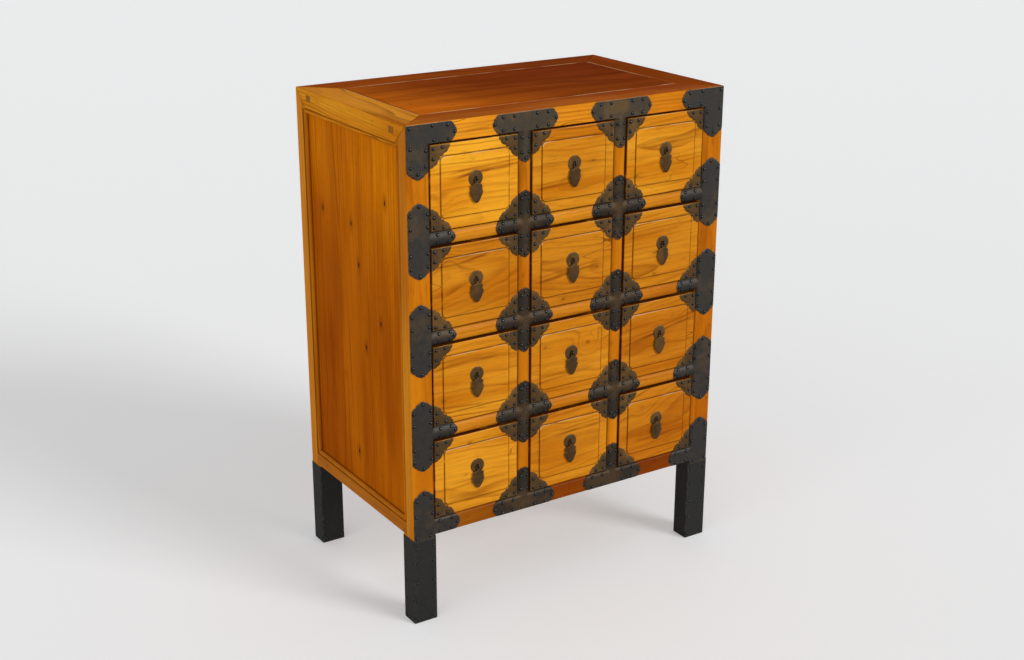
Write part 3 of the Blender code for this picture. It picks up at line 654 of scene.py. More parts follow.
    # Paler on marked edges: dust and wear, and a painted highlight along the upper edges of the drawer fronts
    dust_and_highlight = w.times(g["Worn"], w.step(drawn(18.0, 90.0), 0.35, 0.6))
    colour = w.blend(w.times(dust_and_highlight, 0.75, clamp=True), colour, paint(214, 182, 140))

    rough = w.plus(w.times(fibre, 0.16), w.times(streak, 0.05), w.times(dirt_and_shade, 0.2), 0.30)
    height = w.plus(w.times(fibre, 0.5), w.times(line, -0.3))
    height = w.minus(height, w.plus(crack, w.times(pores, 0.3)))
    w.give(out, Color=colour, Roughness=rough, Height=height)
    return group


def shader(name, gloss):
    """A new material with a Principled shader: gloss holds the values of its plain sockets."""
    made = bpy.data.materials.new(name)
    made.use_nodes = True
    w = Wiring(made.node_tree)
    principled = made.node_tree.nodes["Principled BSDF"]
    for socket, value in gloss.items():
        principled.inputs[socket].default_value = value
    return made, w, principled


def dressed(name, gloss, group, marks, values, strength, distance):
    """A material whose shader is fed by a node group, which reads marks of the mesh and has its own values."""
    made, w, principled = shader(name, gloss)
    effect = w.node("ShaderNodeGroup", node_tree=group)
    for mark in marks:
        output = "Fac" if np.size(BLANKS[mark]) == 1 else "Vector"
        source = w.node("ShaderNodeAttribute", attribute_name=mark).outputs[output]
        w.tree.links.new(source, effect.inputs[mark.capitalize()])
    w.give(effect, **values)
    result = effect.outputs
    bump = w.node("ShaderNodeBump", {"Height": result["Height"], "Strength": strength, "Distance": distance})
    w.give(principled, Base_Color=result["Color"], Roughness=result["Roughness"], Normal=bump.outputs["Normal"])
    return made, w, effect


def elm(name, light, dark, line, coat=0.02, marked=False, gloss=0.03, **values):
    """Oiled elm with its own colours and figure."""
    plain = {"Specular IOR Level": gloss, "Specular Tint": GOLDEN_GLOSS, "Coat Weight": coat, "Coat Roughness": 0.2}
    marks = ("grain", "crease", "worn", "tone", *(("knot", "streak") if marked else ()))
    values |= {"Light": paint(*light), "Dark": paint(*dark), "Line": paint(*line)}
    return dressed(name, plain, ELM_FIGURE, marks, values, 0.35, 0.0004)[0]


def iron_skin():
    """Old sheet iron: mottled noise, patches of brown patina, shallow hammer marks and bright edges."""
    given = (
        ("Position", "Vector", None), ("Crease", "Float", 0.0), ("Worn", "Float", 0.0), ("Brown", "Float", 0.0),
        ("Iron", "Color", None), ("Patina", "Color", None), ("Bare", "Color", None),
        ("Patches", "Float", 0.5), ("Edges", "Float", 0.6), ("Base Roughness", "Float", 0.4),
    )
    group, w, g, out = node_group("iron_skin", given)
    patch = w.step(w.noise(g["Position"], 24.0, 3.0, 0.6), 0.46, 0.66)
    mottle = w.noise(g["Position"], 420.0, 3.0, 0.6)
    patch = w.math("MAXIMUM", w.times(patch, g["Patches"]), w.times(g["Brown"], w.step(mottle, 0.25, 0.6)))
    rub = w.noise(g["Position"], 130.0, 3.0, 0.6)
    hammer = w.node("ShaderNodeTexVoronoi", {"Vector": g["Position"], "Scale": 150.0}, feature="SMOOTH_F1")
    colour = w.blend(patch, g["Iron"], g["Patina"])
    colour = w.dimmed(colour, w.plus(w.times(mottle, 0.7), w.times(rub, 0.7), 0.3))
    edge = w.times(g["Worn"], w.step(rub, 0.42, 0.62), g["Edges"], clamp=True)
    colour = w.blend(edge, colour, g["Bare"])
    # Darker where creased: on nail heads, grime and painted shade on their flanks
    colour = w.blend(w.times(g["Crease"], 0.85, clamp=True), colour, paint(16, 14, 13))
    rough = w.plus(w.times(rub, 0.25), g["Base Roughness"], w.times(patch, 0.08), w.times(edge, -0.1))
    height = w.plus(w.times(hammer.outputs["Distance"], 0.8), w.times(mottle, 0.35))
    w.give(out, Color=colour, Roughness=rough, Height=height)
    return group


def iron(name, colour, patina, bare, metallic=0.75, bump=0.25, marked=False, **values):
    """Sheet iron with its own colours and wear."""
    marks = ("crease", "worn", *(("brown",) if marked else ()))
    values |= {"Iron": paint(*colour), "Patina": paint(*patina), "Bare": paint(*bare)}
    plain = {"Metallic": metallic, "Specular IOR Level": 0.5}
    made, w, effect = dressed(name, plain, IRON_SKIN, marks, values, bump, 0.0005)
    w.give(effect, Position=w.node("ShaderNodeTexCoord").outputs["Object"])
    return made


# How much of a tone goes to red, green and blue: a lighter tone is yellower, a darker one redder
TONE_SHARES = (0.30, 0.46, 0.60)
GOLDEN_GLOSS = (1.0, 0.75, 0.42, 1.0)
ELM_FIGURE = elm_figure()
IRON_SKIN = iron_skin()

DRAWER_ELM = elm(
    "drawer_elm", (220, 148, 34), (196, 116, 14), (130, 62, 8),
    marked=True, Ring_Width=0.0062, Wander=0.035, Lines=0.70, Specks=0.4, Cracks=0.8,
)
RAIL_FIGURE = {"Ring_Width": 0.006, "Wander": 0.02, "Lines": 0.5, "Specks": 0.1, "Cracks": 0.5}
RAIL_ELM = elm("rail_elm", (216, 140, 30), (190, 112, 16), (138, 68, 10), coat=0.06, **RAIL_FIGURE)
# A darker copy of the rails' elm for the front bottom rail: painted shade
LOW_RAIL_ELM = elm("low_rail_elm", (172, 106, 18), (150, 84, 9), (106, 50, 6), coat=0.04, **RAIL_FIGURE)
POST_ELM = elm(
    "post_elm", (206, 124, 16), (182, 100, 8), (136, 64, 4),
    Ring_Width=0.005, Pith_Depth=0.09, Wander=0.012, Lines=0.5, Specks=0.2, Cracks=0.2,
)
SIDE_ELM = elm(
    "side_elm", (212, 118, 3), (184, 92, 1), (120, 50, 1), coat=0.0, gloss=0.006,
    Ring_Width=0.008, Pith_Depth=0.08, Wander=0.02, Lines=0.6, Specks=1.0, Cracks=0.3,
)
TOP_ELM = elm(
    "top_elm", (156, 70, 6), (134, 57, 4), (100, 38, 3), coat=0.0, gloss=0.0003,
    Ring_Width=0.010, Wander=0.04, Lines=0.6, Specks=0.1, Cracks=0.4,
)
TOP_RAIL_ELM = elm(
    "top_rail_elm", (232, 151, 36), (199, 112, 17), (130, 60, 8), coat=0.0, gloss=0.001,
    marked=True, Ring_Width=0.006, Wander=0.03, Lines=0.9, Specks=0.15, Cracks=1.0,
)
INSIDE_ELM = elm(
    "inside_elm", (190, 138, 78), (160, 106, 54), (118, 72, 34), coat=0.0,
    Ring_Width=0.007, Wander=0.02, Lines=0.6, Specks=0.3, Cracks=0.2,
)
END_GRAIN = elm(
    "end_grain", (170, 106, 28), (140, 82, 20), (96, 50, 10), coat=0.0,
    Ring_Width=0.002, Pith_Depth=0.02, Wander=0.002, Lines=0.9, Streaks=1.0, Specks=0.0,
)
MOUNT_IRON = iron("mount_iron", (50, 47, 43), (78, 62, 42), (126, 120, 112), Patches=0.65)
CROSS_IRON = iron("cross_iron", (45, 38, 29), (76, 56, 33), (126, 115, 99), marked=True, Patches=0.7)
TOP_IRON = iron("top_mount_iron", (64, 55, 42), (92, 70, 40), (134, 126, 115), Patches=0.9)
SLEEVE_IRON = iron("sleeve_iron", (40, 40, 38), (50, 45, 38), (94, 92, 88), Patches=0.3, Edges=0.3)
PLATE_IRON = iron("plate_iron", (78, 56, 26), (104, 74, 34), (134, 114, 76), Patches=0.9, Edges=0.45)
PULL_IRON = iron("pull_iron", (80, 57, 25), (108, 76, 34), (144, 124, 86), Patches=0.9, Edges=0.4)
DROP_IRON = iron("drop_iron", (66, 46, 19), (90, 62, 27), (128, 104, 66), Patches=0.9, Edges=0.4)
NAIL_STEEL = iron(
    "nail_steel", (50, 54, 58), (42, 42, 44), (120, 124, 130),
    metallic=0.9, bump=0.04, Patches=0.3, Base_Roughness=0.06,
)


# Case of wood


# Points nearer than this to an outer face of the chest count as lying on it
SKIN = 0.0003
# Tones of the posts: what a side face adds, that of the left posts, and that of the right posts at
# the floor, what each metre up adds, and its least and greatest value. The paler side face is painted
# light, and the darkening of the right posts towards the floor is painted shade.
SIDE_FACE_TONE = 0.9
LEFT_POST_TONE = -0.15
RIGHT_POST_TONE = (-1.42, 2.2, -0.9, 0.15)


def post_tone(x, z):
    """Tone of a post: painted light makes its side face paler, and painted shade darkens the right posts downwards.
    """
    at_floor, rise, least, greatest = RIGHT_POST_TONE
    right = np.clip(at_floor + rise * z, least, greatest)
    return SIDE_FACE_TONE * (np.abs(x) > SIDE - SKIN) + np.where(x < 0, LEFT_POST_TONE, right)


def build_posts():
    """Posts with their points cut to a three-way mitre under the top frame."""
    number = 0
    for face, face_name in ((-1, "front"), (1, "back")):
        beaded, sunk, plain, dirt_and_shade, share = post_sections(POST_ROUND if face < 0 else EASE)
        share_x = (POST_WIDTH - plain[:, 0]) / POST_WIDTH
        share_y = (POST_DEPTH - plain[:, 1]) / POST_DEPTH
        under = np.full(len(plain), UNDER_TOP - GAP)
        top = under + (TOP_HIGH_RAIL - 2 * GAP) * np.clip(np.minimum(share_x, share_y), 0, 1)
        foot = np.zeros(len(plain))
        rail_under = foot + LEG_CLEARANCE
        rail_bead = foot + RAIL_MOULD_TOP - RAIL_MOULD + share * RAIL_MOULD
        top_bead = under - share * TOP_MOULD
        middle = np.array((POST_WIDTH, POST_DEPTH)) / 2
        drawn = middle + (plain - middle) * 0.985
        rings = (
            (foot, plain * 0 + middle, 0), (foot, drawn, 0), (foot + EASE / 2, plain, 0),
            (rail_under, plain, 0), (rail_under, sunk, 0), (rail_bead, sunk, 0.4), (rail_bead, beaded, 0.4),
            (rail_bead + 2 * BAND, beaded, 0), (top_bead - 2 * BAND, beaded, 0),
            (top_bead, beaded, 0.4), (top_bead, sunk, 0.4), (under, sunk, 0), (under, plain, 0),
            (top - EASE / 2, plain, 0), (top, drawn, 0), (foot + top.mean(), plain * 0 + middle, 0),
        )
        crease = np.concatenate([np.where(share > 0, np.maximum(dirt_and_shade, ends), dirt_and_shade) for _, _, ends in rings])
        crease *= np.concatenate([np.where(z > LEG_CLEARANCE, 1.0, 0.0) for z, _, _ in rings])
        quads = grid_quads(len(rings), len(plain), closed=True)
        for side, side_name in ((-1, "left"), (1, "right")):
            name = f"post_{face_name}_{side_name}"
            corner = (side * SIDE, face * REAR)
            points = np.concatenate([np.column_stack((z, corner - flat * (side, face))) for z, flat, _ in rings])
            number += 1
            centre = (side * POST_MIDDLE, face * (REAR - POST_DEPTH / 2))
            shape = laid(points, quads, "Z", 100 + number, crease, 0, centre)
            shape = shaded(shape, lambda x, y, z: post_tone(x, z))
            piece(name, [shape], "case", POST_ELM, [name])


# Tones of the top's members: at the low end, how fast it falls along the member, and how much
# darker the upper face is. The fall along each member and the darker upper face are painted shade.
TOP_TONES = {
    "front": (0.30, 0.65 / SIDE, 1.55), "back": (1.10, 0.65 / SIDE, 0.50),
    "left": (0.60, 1.2, 0.45), "right": (2.30, 1.2, 1.90),
}
TOP_STREAK = (-0.19, TOP_MIDDLE - 0.003, 0.04, 0.045, 0.5)
TOP_STATIONS = (0.06, 0.13, 0.22, 0.35, 0.6)
# Tone of the panel in its middle, and what each metre to the right and to the back adds: painted shade
# that darkens it towards the right and the back
TOP_PANEL_TONE = (-0.35, -1.5, -4.5)
# Painted highlight at the panel's front left corner: its strength there, the way to the right over which
# it falls to a third, and the way back over which it ends
TOP_LIGHT = (16.0, 0.065, 0.28)
# Mitred members and tenons: how round their edges are, and how dark the dirt in their joints is
MITRE_EASE = 0.001
TENON_EASE = 0.0002
JOINT_DIRT = 0.3


def build_top():
    """Four mitred members, which meet the posts in a slanted cut, and the panel between them."""
    room = GAP / 2

    def cut(sign, reach, sides, slope):
        """End of a member: as far in as it is behind the outer edge, or as the post's slope is."""
        def end(across, z):
            behind = sides - np.abs(across)
            return sign * (reach - room - np.maximum(behind, (HEIGHT - z) * slope))
        return end

    ways = (
        ("X", 0, 110, SIDE, REAR, POST_WIDTH, ("front", "back")),
        ("Y", 1, 114, REAR, SIDE, POST_DEPTH, ("left", "right")),
    )
    for axis, column, number, reach, sides, post, names in ways:
        ends = tuple(cut(sign, reach, sides, post / TOP_HIGH_RAIL) for sign in (-1, 1))
        for sign, name in zip((-1, 1), names):
            low = np.array((-reach, -reach, UNDER_TOP))
            high = np.array((reach, reach, HEIGHT))
            low[1 - column], high[1 - column] = sorted((sign * sides, sign * (sides - TOP_MEMBER)))
            dust = (0,) if sign < 0 else (1,)
            shape = board(low, high, axis, number + sign, MITRE_EASE, ends, dust=dust, crease_ends=JOINT_DIRT)
            start, fall, darker = TOP_TONES[name]
            # Painted shade: the tone falls along the member, and its upper face is darker
            shape = shaded(shape, lambda x, y, z: (
                start - fall * ((x, y)[column] + reach) - darker * (z > HEIGHT - SKIN)
            ))
            if name == "front":
                shape = shape.marked(streak=streak_mark(shape.points[:, 0], shape.points[:, 2], *TOP_STREAK))
            finish = TOP_RAIL_ELM if sign < 0 else TOP_ELM
            piece(f"top_rail_{name}", [shape], "case", finish, ["top_frame"])
    half_x = SIDE - TOP_MEMBER - GAP
    half_y = REAR - TOP_MEMBER - GAP
    low = (-half_x, -half_y, HEIGHT - TOP_PANEL)
    shape = board(low, (half_x, half_y, HEIGHT), "X", 121, EASE / 2, dust=(0, 1), stations=TOP_STATIONS)

    def tone(x, y, z):
        """Painted shade towards the right and the back, and a painted highlight that falls off from one corner."""
        strength, falling, ending = TOP_LIGHT
        middle, right, back = TOP_PANEL_TONE
        light = strength * np.exp(-(x + half_x) / falling) * (1 - (y + half_y) / ending)
        return light + middle + right * x + back * y

    piece("top_panel_board", [shaded(shape, tone)], "case", TOP_ELM, ["top_panel"])


def moulded_bar(section, dirt_and_shade, end, side, number, tone):
    """A bar along a side of the case: its section holds depth and height, and both ends are cut alike."""
    placed = section * (-side, 1) + (side * SIDE, 0)
    points, quads, crease = bar(placed, -end, end, EASE / 4, 0.5)
    crease = np.maximum(crease, np.tile(dirt_and_shade, len(points) // len(section)))
    return laid(points, quads, "Y", number, crease, tone, placed.mean(0))


# Boards of a side: where each starts from the front, and its tone
SIDE_BOARDS = ((PANEL_LOW[1], -0.32), (-0.068, -0.40), (0.055, -0.85))
# Painted light makes the boards of a side paler at the top: by how much, from which height, and over
# how much of it
SIDE_LIFT = (1.2, 0.45, 0.27)
SIDE_STATIONS = (0.2, 0.45, 0.6, 0.75, 0.88)
# Ends of tenons on a side: place along it, height, and half sizes
TENONS = ((-0.141, 0.807, 0.0078, 0.0052), (0.138, 0.807, 0.0078, 0.0052), (-0.155, 0.158, 0.004, 0.003))
TENON_PROUD = 0.00008
BACK_TONES = (0.0, -0.15, 0.1, -0.05)


def build_sides():
    """Sunk boards, the bead under the top, the rail below, the ends of the tenons, and the back."""
    ends_of_boards = [start for start, _ in SIDE_BOARDS[1:]] + [PANEL_HIGH[1]]
    lift, lowest, over = SIDE_LIFT
    for side, name in ((-1, "left"), (1, "right")):
        node = f"side_panel_{name}"
        x = sorted((side * (SIDE - PANEL_SINK - PANEL_THICK), side * (SIDE - PANEL_SINK)))
        boards = []
        for i, ((start, tone), end) in enumerate(zip(SIDE_BOARDS, ends_of_boards)):
            low = (x[0], start, PANEL_LOW[2])
            high = (x[1], end, PANEL_HIGH[2])
            shape = board(low, high, "Z", 130 + 4 * side + i, 0.0004, stations=SIDE_STATIONS)
            boards.append(shaded(shape, lambda x, y, z: tone + lift * np.clip((z - lowest) / over, 0, 1) ** 2))
        piece(f"side_boards_{name}", boards, "case", SIDE_ELM, [node])

        section, dirt_and_shade, share = rail_section(LEG_CLEARANCE, RAIL_MOULD_TOP, RAIL_DEPTH, RAIL_MOULD)
        over_posts = REAR - POST_PLAIN - share * POST_MOULD
        end = np.where(section[:, 0] > 2 * PANEL_SINK, POST_END - GAP, over_posts)
        rail = moulded_bar(section, dirt_and_shade, end, side, 212 + side, -0.30)
        piece(f"bottom_rail_{name}", [rail], "case", POST_ELM, [f"deck_row{ROWS}"])

        mould, dirt_and_shade = moulding(TOP_MOULD)
        behind = PANEL_SINK + 0.0008
        section = np.vstack((mould, (mould[-1, 0], behind), (0.0, behind)))[:, ::-1] * (1, -1)
        share = np.clip(-section[:, 1] / TOP_MOULD, 0, 1)
        end = REAR - POST_PLAIN - share * POST_MOULD
        section = section + (0, UNDER_TOP - GAP)
        # The two points behind, at the sunk panel, carry painted shade
        strip = moulded_bar(section, np.array((*dirt_and_shade, 0.5, 0.5)), end, side, 216 + side, -0.1)
        piece(f"side_bead_{name}", [strip], "case", TOP_RAIL_ELM, [node])

        tenons = []
        x = sorted((side * (SIDE - 0.002), side * (SIDE + TENON_PROUD)))
        for y, z, half_w, half_h in TENONS:
            low = (x[0], y - half_w, z - half_h)
            tenons.append(board(low, (x[1], y + half_w, z + half_h), "Z", 170, TENON_EASE, crease_ends=JOINT_DIRT))
        piece(f"tenon_ends_{name}", tenons, "case", END_GRAIN)
    places = np.linspace(BACK_LOW[0], BACK_HIGH[0], len(BACK_TONES) + 1)
    boards = [
        board((start, *BACK_LOW[1:]), (end, *BACK_HIGH[1:]), "Z", 180 + i, 0.0004, tone=tone)
        for i, (start, end, tone) in enumerate(zip(places, places[1:], BACK_TONES))
    ]
    piece("back_boards", boards, "case", SIDE_ELM, ["back_panel"])


def crowned_bar(width, middle, start, end, axis, number, dirt_and_shade, tone=0):
    """Rail or divider: its round face is carried along it, with old dirt and painted shade along both edges."""
    section = crowned_section(width, RAIL_DEPTH)
    edge_soil_and_shade = edge_dirt_and_shade(section[:, 1], width, *dirt_and_shade)
    if axis == "X":
        section = section + (0, middle)
        centre = (FRONT, middle)
    else:
        section = section[:, ::-1] + (middle, 0)
        centre = (middle, FRONT)
    points, quads, crease = bar(section, start, end, EASE / 3)
    crease = np.maximum(crease, np.tile(edge_soil_and_shade, len(points) // len(section)))
    return laid(points, quads, axis, number, crease, tone, centre)


# Tones of the rails: in the middle, what each row down adds, and what each metre to the right adds.
# The darkening downwards and to the right is painted shade.
RAIL_TONE = (-0.05, -0.15, -1.0)
# Tone of the front bottom rail, and what each metre to the right adds: painted shade, dark and darker to the right
BOTTOM_RAIL_TONE = (-1.5, -3.2)
# Dirt along the upper and lower edge of a rail, and along the left and right edge of a divider, with
# painted shade of the gap beside a drawer on the stronger side
RAIL_DIRT_AND_SHADE = (0.9, 0.25)
DIVIDER_DIRT_AND_SHADE = (0.25, 0.9)
DIVIDER_TONE = -0.05


def build_decks():
    """Under each row of drawers: the rail, its two dividers, the board, the guides and the partitions."""
    half_width = POST_INNER - GAP
    board_back = BACK_LOW[1] - GAP
    start = FRONT + RAIL_DEPTH
    post_end = POST_END - GAP
    panel_inner = SIDE - PANEL_SINK - PANEL_THICK - GAP
    middles = [divider_middle(column) for column in range(COLUMNS - 1)]
    deck_parts = (
        (panel_inner, -post_end, post_end), (half_width, start, -post_end), (half_width, post_end, board_back),
    )
    for row in range(ROWS):
        z = deck_top(row)
        node = [f"deck_row{row + 1}"]
        if row < ROWS - 1:
            rail = crowned_bar(RAIL, z - RAIL / 2, -half_width, half_width, "X", 200 + row, RAIL_DIRT_AND_SHADE)
            rail = shaded(rail, lambda x, y, z: RAIL_TONE[0] + RAIL_TONE[1] * row + RAIL_TONE[2] * x)
            piece(f"rail_row{row + 1}", [rail], "case", RAIL_ELM, node)
        else:
            section, _ = rounded_section(RAIL_DEPTH / 2, BOTTOM_RAIL / 2, [EASE, BOTTOM_ROUND, EASE, EASE])
            centre = (FRONT + RAIL_DEPTH / 2, z - BOTTOM_RAIL / 2)
            points, quads, crease = bar(section + centre, -half_width, half_width, EASE / 3, stations=(0.5,))
            rail = laid(points, quads, "X", 210, crease, centre=centre)
            rail = shaded(rail, lambda x, y, z: BOTTOM_RAIL_TONE[0] + BOTTOM_RAIL_TONE[1] * x)
            piece("bottom_rail_front", [rail], "case", LOW_RAIL_ELM, node)
            low = (-half_width, REAR - RAIL_DEPTH, LEG_CLEARANCE)
            shape = board(low, (half_width, REAR, z), "X", 211, tone=-0.2)
            piece("bottom_rail_back", [shape], "case", RAIL_ELM, node)
        high = z + OPENING_HEIGHT - GAP
        for column, middle in enumerate(middles):
            number = 220 + 4 * row + column
            shape = crowned_bar(DIVIDER, middle, z + GAP, high, "Z", number, DIVIDER_DIRT_AND_SHADE, DIVIDER_TONE)
            piece(f"divider_row{row + 1}_{column + 1}", [shape], "case", POST_ELM, node)
        deck = [
            board((-half, near, z - BOARD), (half, far, z), "X", 240 + row)
            for half, near, far in deck_parts
        ]
        piece(f"deck_board_row{row + 1}", deck, "case", INSIDE_ELM, node)
        guides = []
        walls = []
        wall_top = high + (RAIL - BOARD if row > 0 else 0)
        for column, middle in enumerate(middles):
            low = (middle - DIVIDER / 2, start, z)
            guides.append(board(low, (middle + DIVIDER / 2, board_back, z + GUIDE_HEIGHT), "Y", 250 + column))
            low = (middle - PARTITION / 2, start + GAP, z)
            walls.append(board(low, (middle + PARTITION / 2, board_back, wall_top), "Y", 260 + 4 * row + column))
        for side in (-1, 1):
            x = sorted((side * POST_INNER, side * (POST_INNER + GUIDE_WIDTH)))
            guides.append(board((x[0], -post_end, z), (x[1], post_end, z + GUIDE_HEIGHT), "Y", 254 + side))
        piece(f"guides_row{row + 1}", guides, "case", INSIDE_ELM, node)
        piece(f"partitions_row{row + 1}", walls, "case", INSIDE_ELM, node)


# Iron on the case


def smooth_least(first, second, blend):
    """The lesser of two depths, with a soft hollow where they cross, and never in front of the face."""
    near = np.maximum(blend - np.abs(first - second), 0) / blend
    return np.maximum(np.minimum(first, second) - near**2 * blend / 4, 0)


class Member:
    """Where a sheet lies across one member: its low and high edge, and the depth of the face under it."""

    def __init__(self, low, high, relief):
        self.low = low
        self.high = high
        self.relief = relief
        middle = np.linspace(low + 3 * EDGE, high - 3 * EDGE, 15)
        self.places = np.array([low, low + EDGE, *middle, high - EDGE, high])


def sheet_depth(upright, level, x, z):
    """Depth of the case's face under a sheet over two members, about the middle of their crossing."""
    return smooth_least(upright.relief(x), level.relief(z), SADDLE)


EDGE = 0.0005
SADDLE = 0.0022
ALONG = np.array((0.0, 0.04, 0.15, 0.3, 0.5, 0.7, 0.85, 0.94, 0.985, 1.0))

# Half outlines of the ends of arms: share of the half width, distance behind the tip as a share of
# the half width, and how far the lobe up to the next cusp bulges, as the same share
ROUND_END = ((0.0, 0.0, 0.0), (0.07, 0.10, 0.09), (0.36, 0.20, 0.11), (0.70, 0.44, 0.13), (1.0, 0.78, 0.0))
POINTED_END = ((0.0, 0.0, 0.0), (0.06, 0.06, 0.06), (0.30, 0.17, 0.08), (0.64, 0.42, 0.09), (1.0, 0.76, 0.0))
SPIKED_END = ((0.0, 0.0, 0.0), (0.07, 0.10, 0.07), (0.38, 0.24, 0.10), (0.68, 0.46, 0.11), (1.0, 0.76, 0.0))


def behind_tip(form, share):
    """Distance of an arm's end behind its tip: lobes between cusps, each a line less a parabola."""
    share = np.abs(share)
    behind = np.zeros_like(share)
    for (u, back, bulge), (next_u, next_back, _) in zip(form, form[1:]):
        t = (share - u) / (next_u - u)
        inside = (t >= 0) & (t <= 1)
        lobe = back + (next_back - back) * t - bulge * 4 * t * (1 - t)
        behind = np.where(inside, np.maximum(lobe, 0), behind)
    return behind


def arm_places(member, form):
    """Places across an arm, with one on every cusp of its end."""
    middle = (member.low + member.high) / 2
    half = (member.high - member.low) / 2
    cusps = [middle + sign * row[0] * half for row in form for sign in (-1, 1)]
    extra = [middle + sign * (row[0] + 0.06) * half for row in form[:-1] for sign in (-1, 1)]
    return np.unique(np.round(np.concatenate((member.places, cusps, extra)), 7))


def mount_surfaces(upright, level, reach, forms, place):
    """Front of a sheet over a crossing: the block over it, and one grid for each arm.

    An arm runs from the edge of the block to its outline, a share of the way at each step. The depth
    is the soft least of both members' depths, and the outline's edge is drawn back a little.
    """
    lines_x = arm_places(upright, forms["up"]) if {"up", "down"} & set(reach) else upright.places
    lines_z = arm_places(level, forms["left"]) if {"left", "right"} & set(reach) else level.places
    x, z = np.meshgrid(lines_x, lines_z, indexing="ij")
    edge = np.zeros_like(x)
    for way, line in (("left", edge[0]), ("right", edge[-1]), ("down", edge[:, 0]), ("up", edge[:, -1])):
        if way not in reach:
            line[:] = 1
    edge[np.ix_((0, -1), (0, -1))] = 1
    grids = [(x, z, edge)]
    for way, tip in reach.items():
        sign = 1 if way in ("right", "up") else -1
        sideways_arm = way in ("left", "right")
        lines, crossing = (lines_z, upright) if sideways_arm else (lines_x, level)
        base = crossing.high if sign > 0 else crossing.low
        middle = (lines[0] + lines[-1]) / 2
        half = (lines[-1] - lines[0]) / 2
        form = forms[way]
        back = behind_tip(form, (lines - middle) / half) * half if form else np.zeros_like(lines)
        end = sign * (tip - back)
        outward = base + ALONG[:, None] * (end - base)[None, :]
        beside = np.broadcast_to(lines, outward.shape)
        edge = np.zeros_like(outward)
        edge[:, 0] = edge[:, -1] = edge[-1, :] = 1
        grids.append((outward, beside, edge) if sideways_arm else (beside, outward, edge))
    surfaces = []
    for x, z, edge in grids:
        y = FRONT + sheet_depth(upright, level, x, z) - GAP - IRON + edge * EDGE * 0.6
        points = np.stack((x + place[0], y, z + place[1]), axis=-1)
        brown = np.clip(1.25 - np.maximum(np.abs(x), np.abs(z)) / 0.020, 0, 1)
        surfaces.append(grid_surface(points, worn=edge.ravel(), brown=brown.ravel()))
    return surfaces


TINY = 1e-5


def iron_normals(upright, level, x, z):
    """Outward normals of the sheet at some places, from the slope of its depth."""
    def rise(step_x, step_z):
        ahead = sheet_depth(upright, level, x + step_x, z + step_z)
        return (ahead - sheet_depth(upright, level, x - step_x, z - step_z)) / (2 * TINY)

    normal = np.stack((rise(TINY, 0), -np.ones_like(x), rise(0, TINY)), axis=-1)
    return normal / np.linalg.norm(normal, axis=-1, keepdims=True)


HEAD_SIDES = 8
HEAD_PROFILE = np.array(((0.0, -0.3), (1.0, -0.3), (0.93, 0.34), (0.70, 0.72), (0.36, 0.94), (0.0, 1.0)))
# Darkening of a nail head from its rim up its flanks: grime, and painted shade on the flanks
HEAD_GRIME_AND_SHADE = np.array((1.0, 1.0, 0.9, 0.5, 0.0, 0.0))


def heads(places, normals, radius, height):
    """Round nail heads: a profile of shares of the radius and height, turned about each normal."""
    places = np.asarray(places, float).reshape(-1, 3)
    normals = np.broadcast_to(normals, places.shape)
    helper = np.where(np.abs(normals[:, 2:]) > 0.9, (1.0, 0.0, 0.0), (0.0, 0.0, 1.0))
    first = np.cross(normals, helper)
    first /= np.linalg.norm(first, axis=1, keepdims=True)
    second = np.cross(normals, first)
    angle = circle(HEAD_SIDES)
    out = radius * HEAD_PROFILE[:, 0][:, None]
    up = height * HEAD_PROFILE[:, 1][:, None] + np.zeros_like(angle)
    local = np.stack((out * np.cos(angle), out * np.sin(angle), up), axis=-1)
    basis = np.stack((first, second, normals), axis=1)
    points = np.einsum("rsk,nkc->nrsc", local, basis) + places[:, None, None, :]
    quads = grid_quads(len(HEAD_PROFILE), HEAD_SIDES, closed=True)
    count = len(HEAD_PROFILE) * HEAD_SIDES
    shifts = np.arange(len(places))[:, None, None] * count
    grime_and_shade = np.tile(np.repeat(HEAD_GRIME_AND_SHADE, HEAD_SIDES), len(places))
    return Surface(points, (quads + shifts).reshape(-1, 4), crease=grime_and_shade)


NAIL = (0.0032, 0.0018)
DOT = (0.0007, 0.00035)


def studs(members, spots, place, size):
    """Nail heads or punched dots on a mount, at spots about its middle: they stand on the sheet's normals."""
    x, z = np.array(spots, float).T
    y = FRONT + sheet_depth(*members, x, z) - GAP - IRON
    places = np.column_stack((x + place[0], y, z + place[1]))
    return heads(places, iron_normals(*members, x, z), *size)


def crown_member(width):
    return Member(-width / 2, width / 2, lambda offset: crown_depth(offset, width))


# How steeply the depth grows past an edge of a member
DROP_OFF = 8


def flat_member(low, high):
    def relief(offset):
        return np.maximum(np.maximum(offset - high, low - offset), 0) * DROP_OFF
    return Member(low, high, relief)


def rounded_member(low, high, start, radius, sign):
    """Flat face whose edge towards sign is rounded, from start on."""
    def relief(offset):
        past = np.maximum(-sign * offset - max(-low, high) - EDGE, 0)
        return edge_depth(sign * offset - start, radius) + past * DROP_OFF
    return Member(low, high, relief)


def mirrored_spots(spots, ways):
    """The places and their mirror images: x for left and right, z for up and down."""
    spots = [tuple(spot) for spot in spots]
    if "x" in ways:
        spots += [(-x, z) for x, z in spots if x]
    if "z" in ways:
        spots += [(x, -z) for x, z in spots if z]
    return sorted(set(spots))


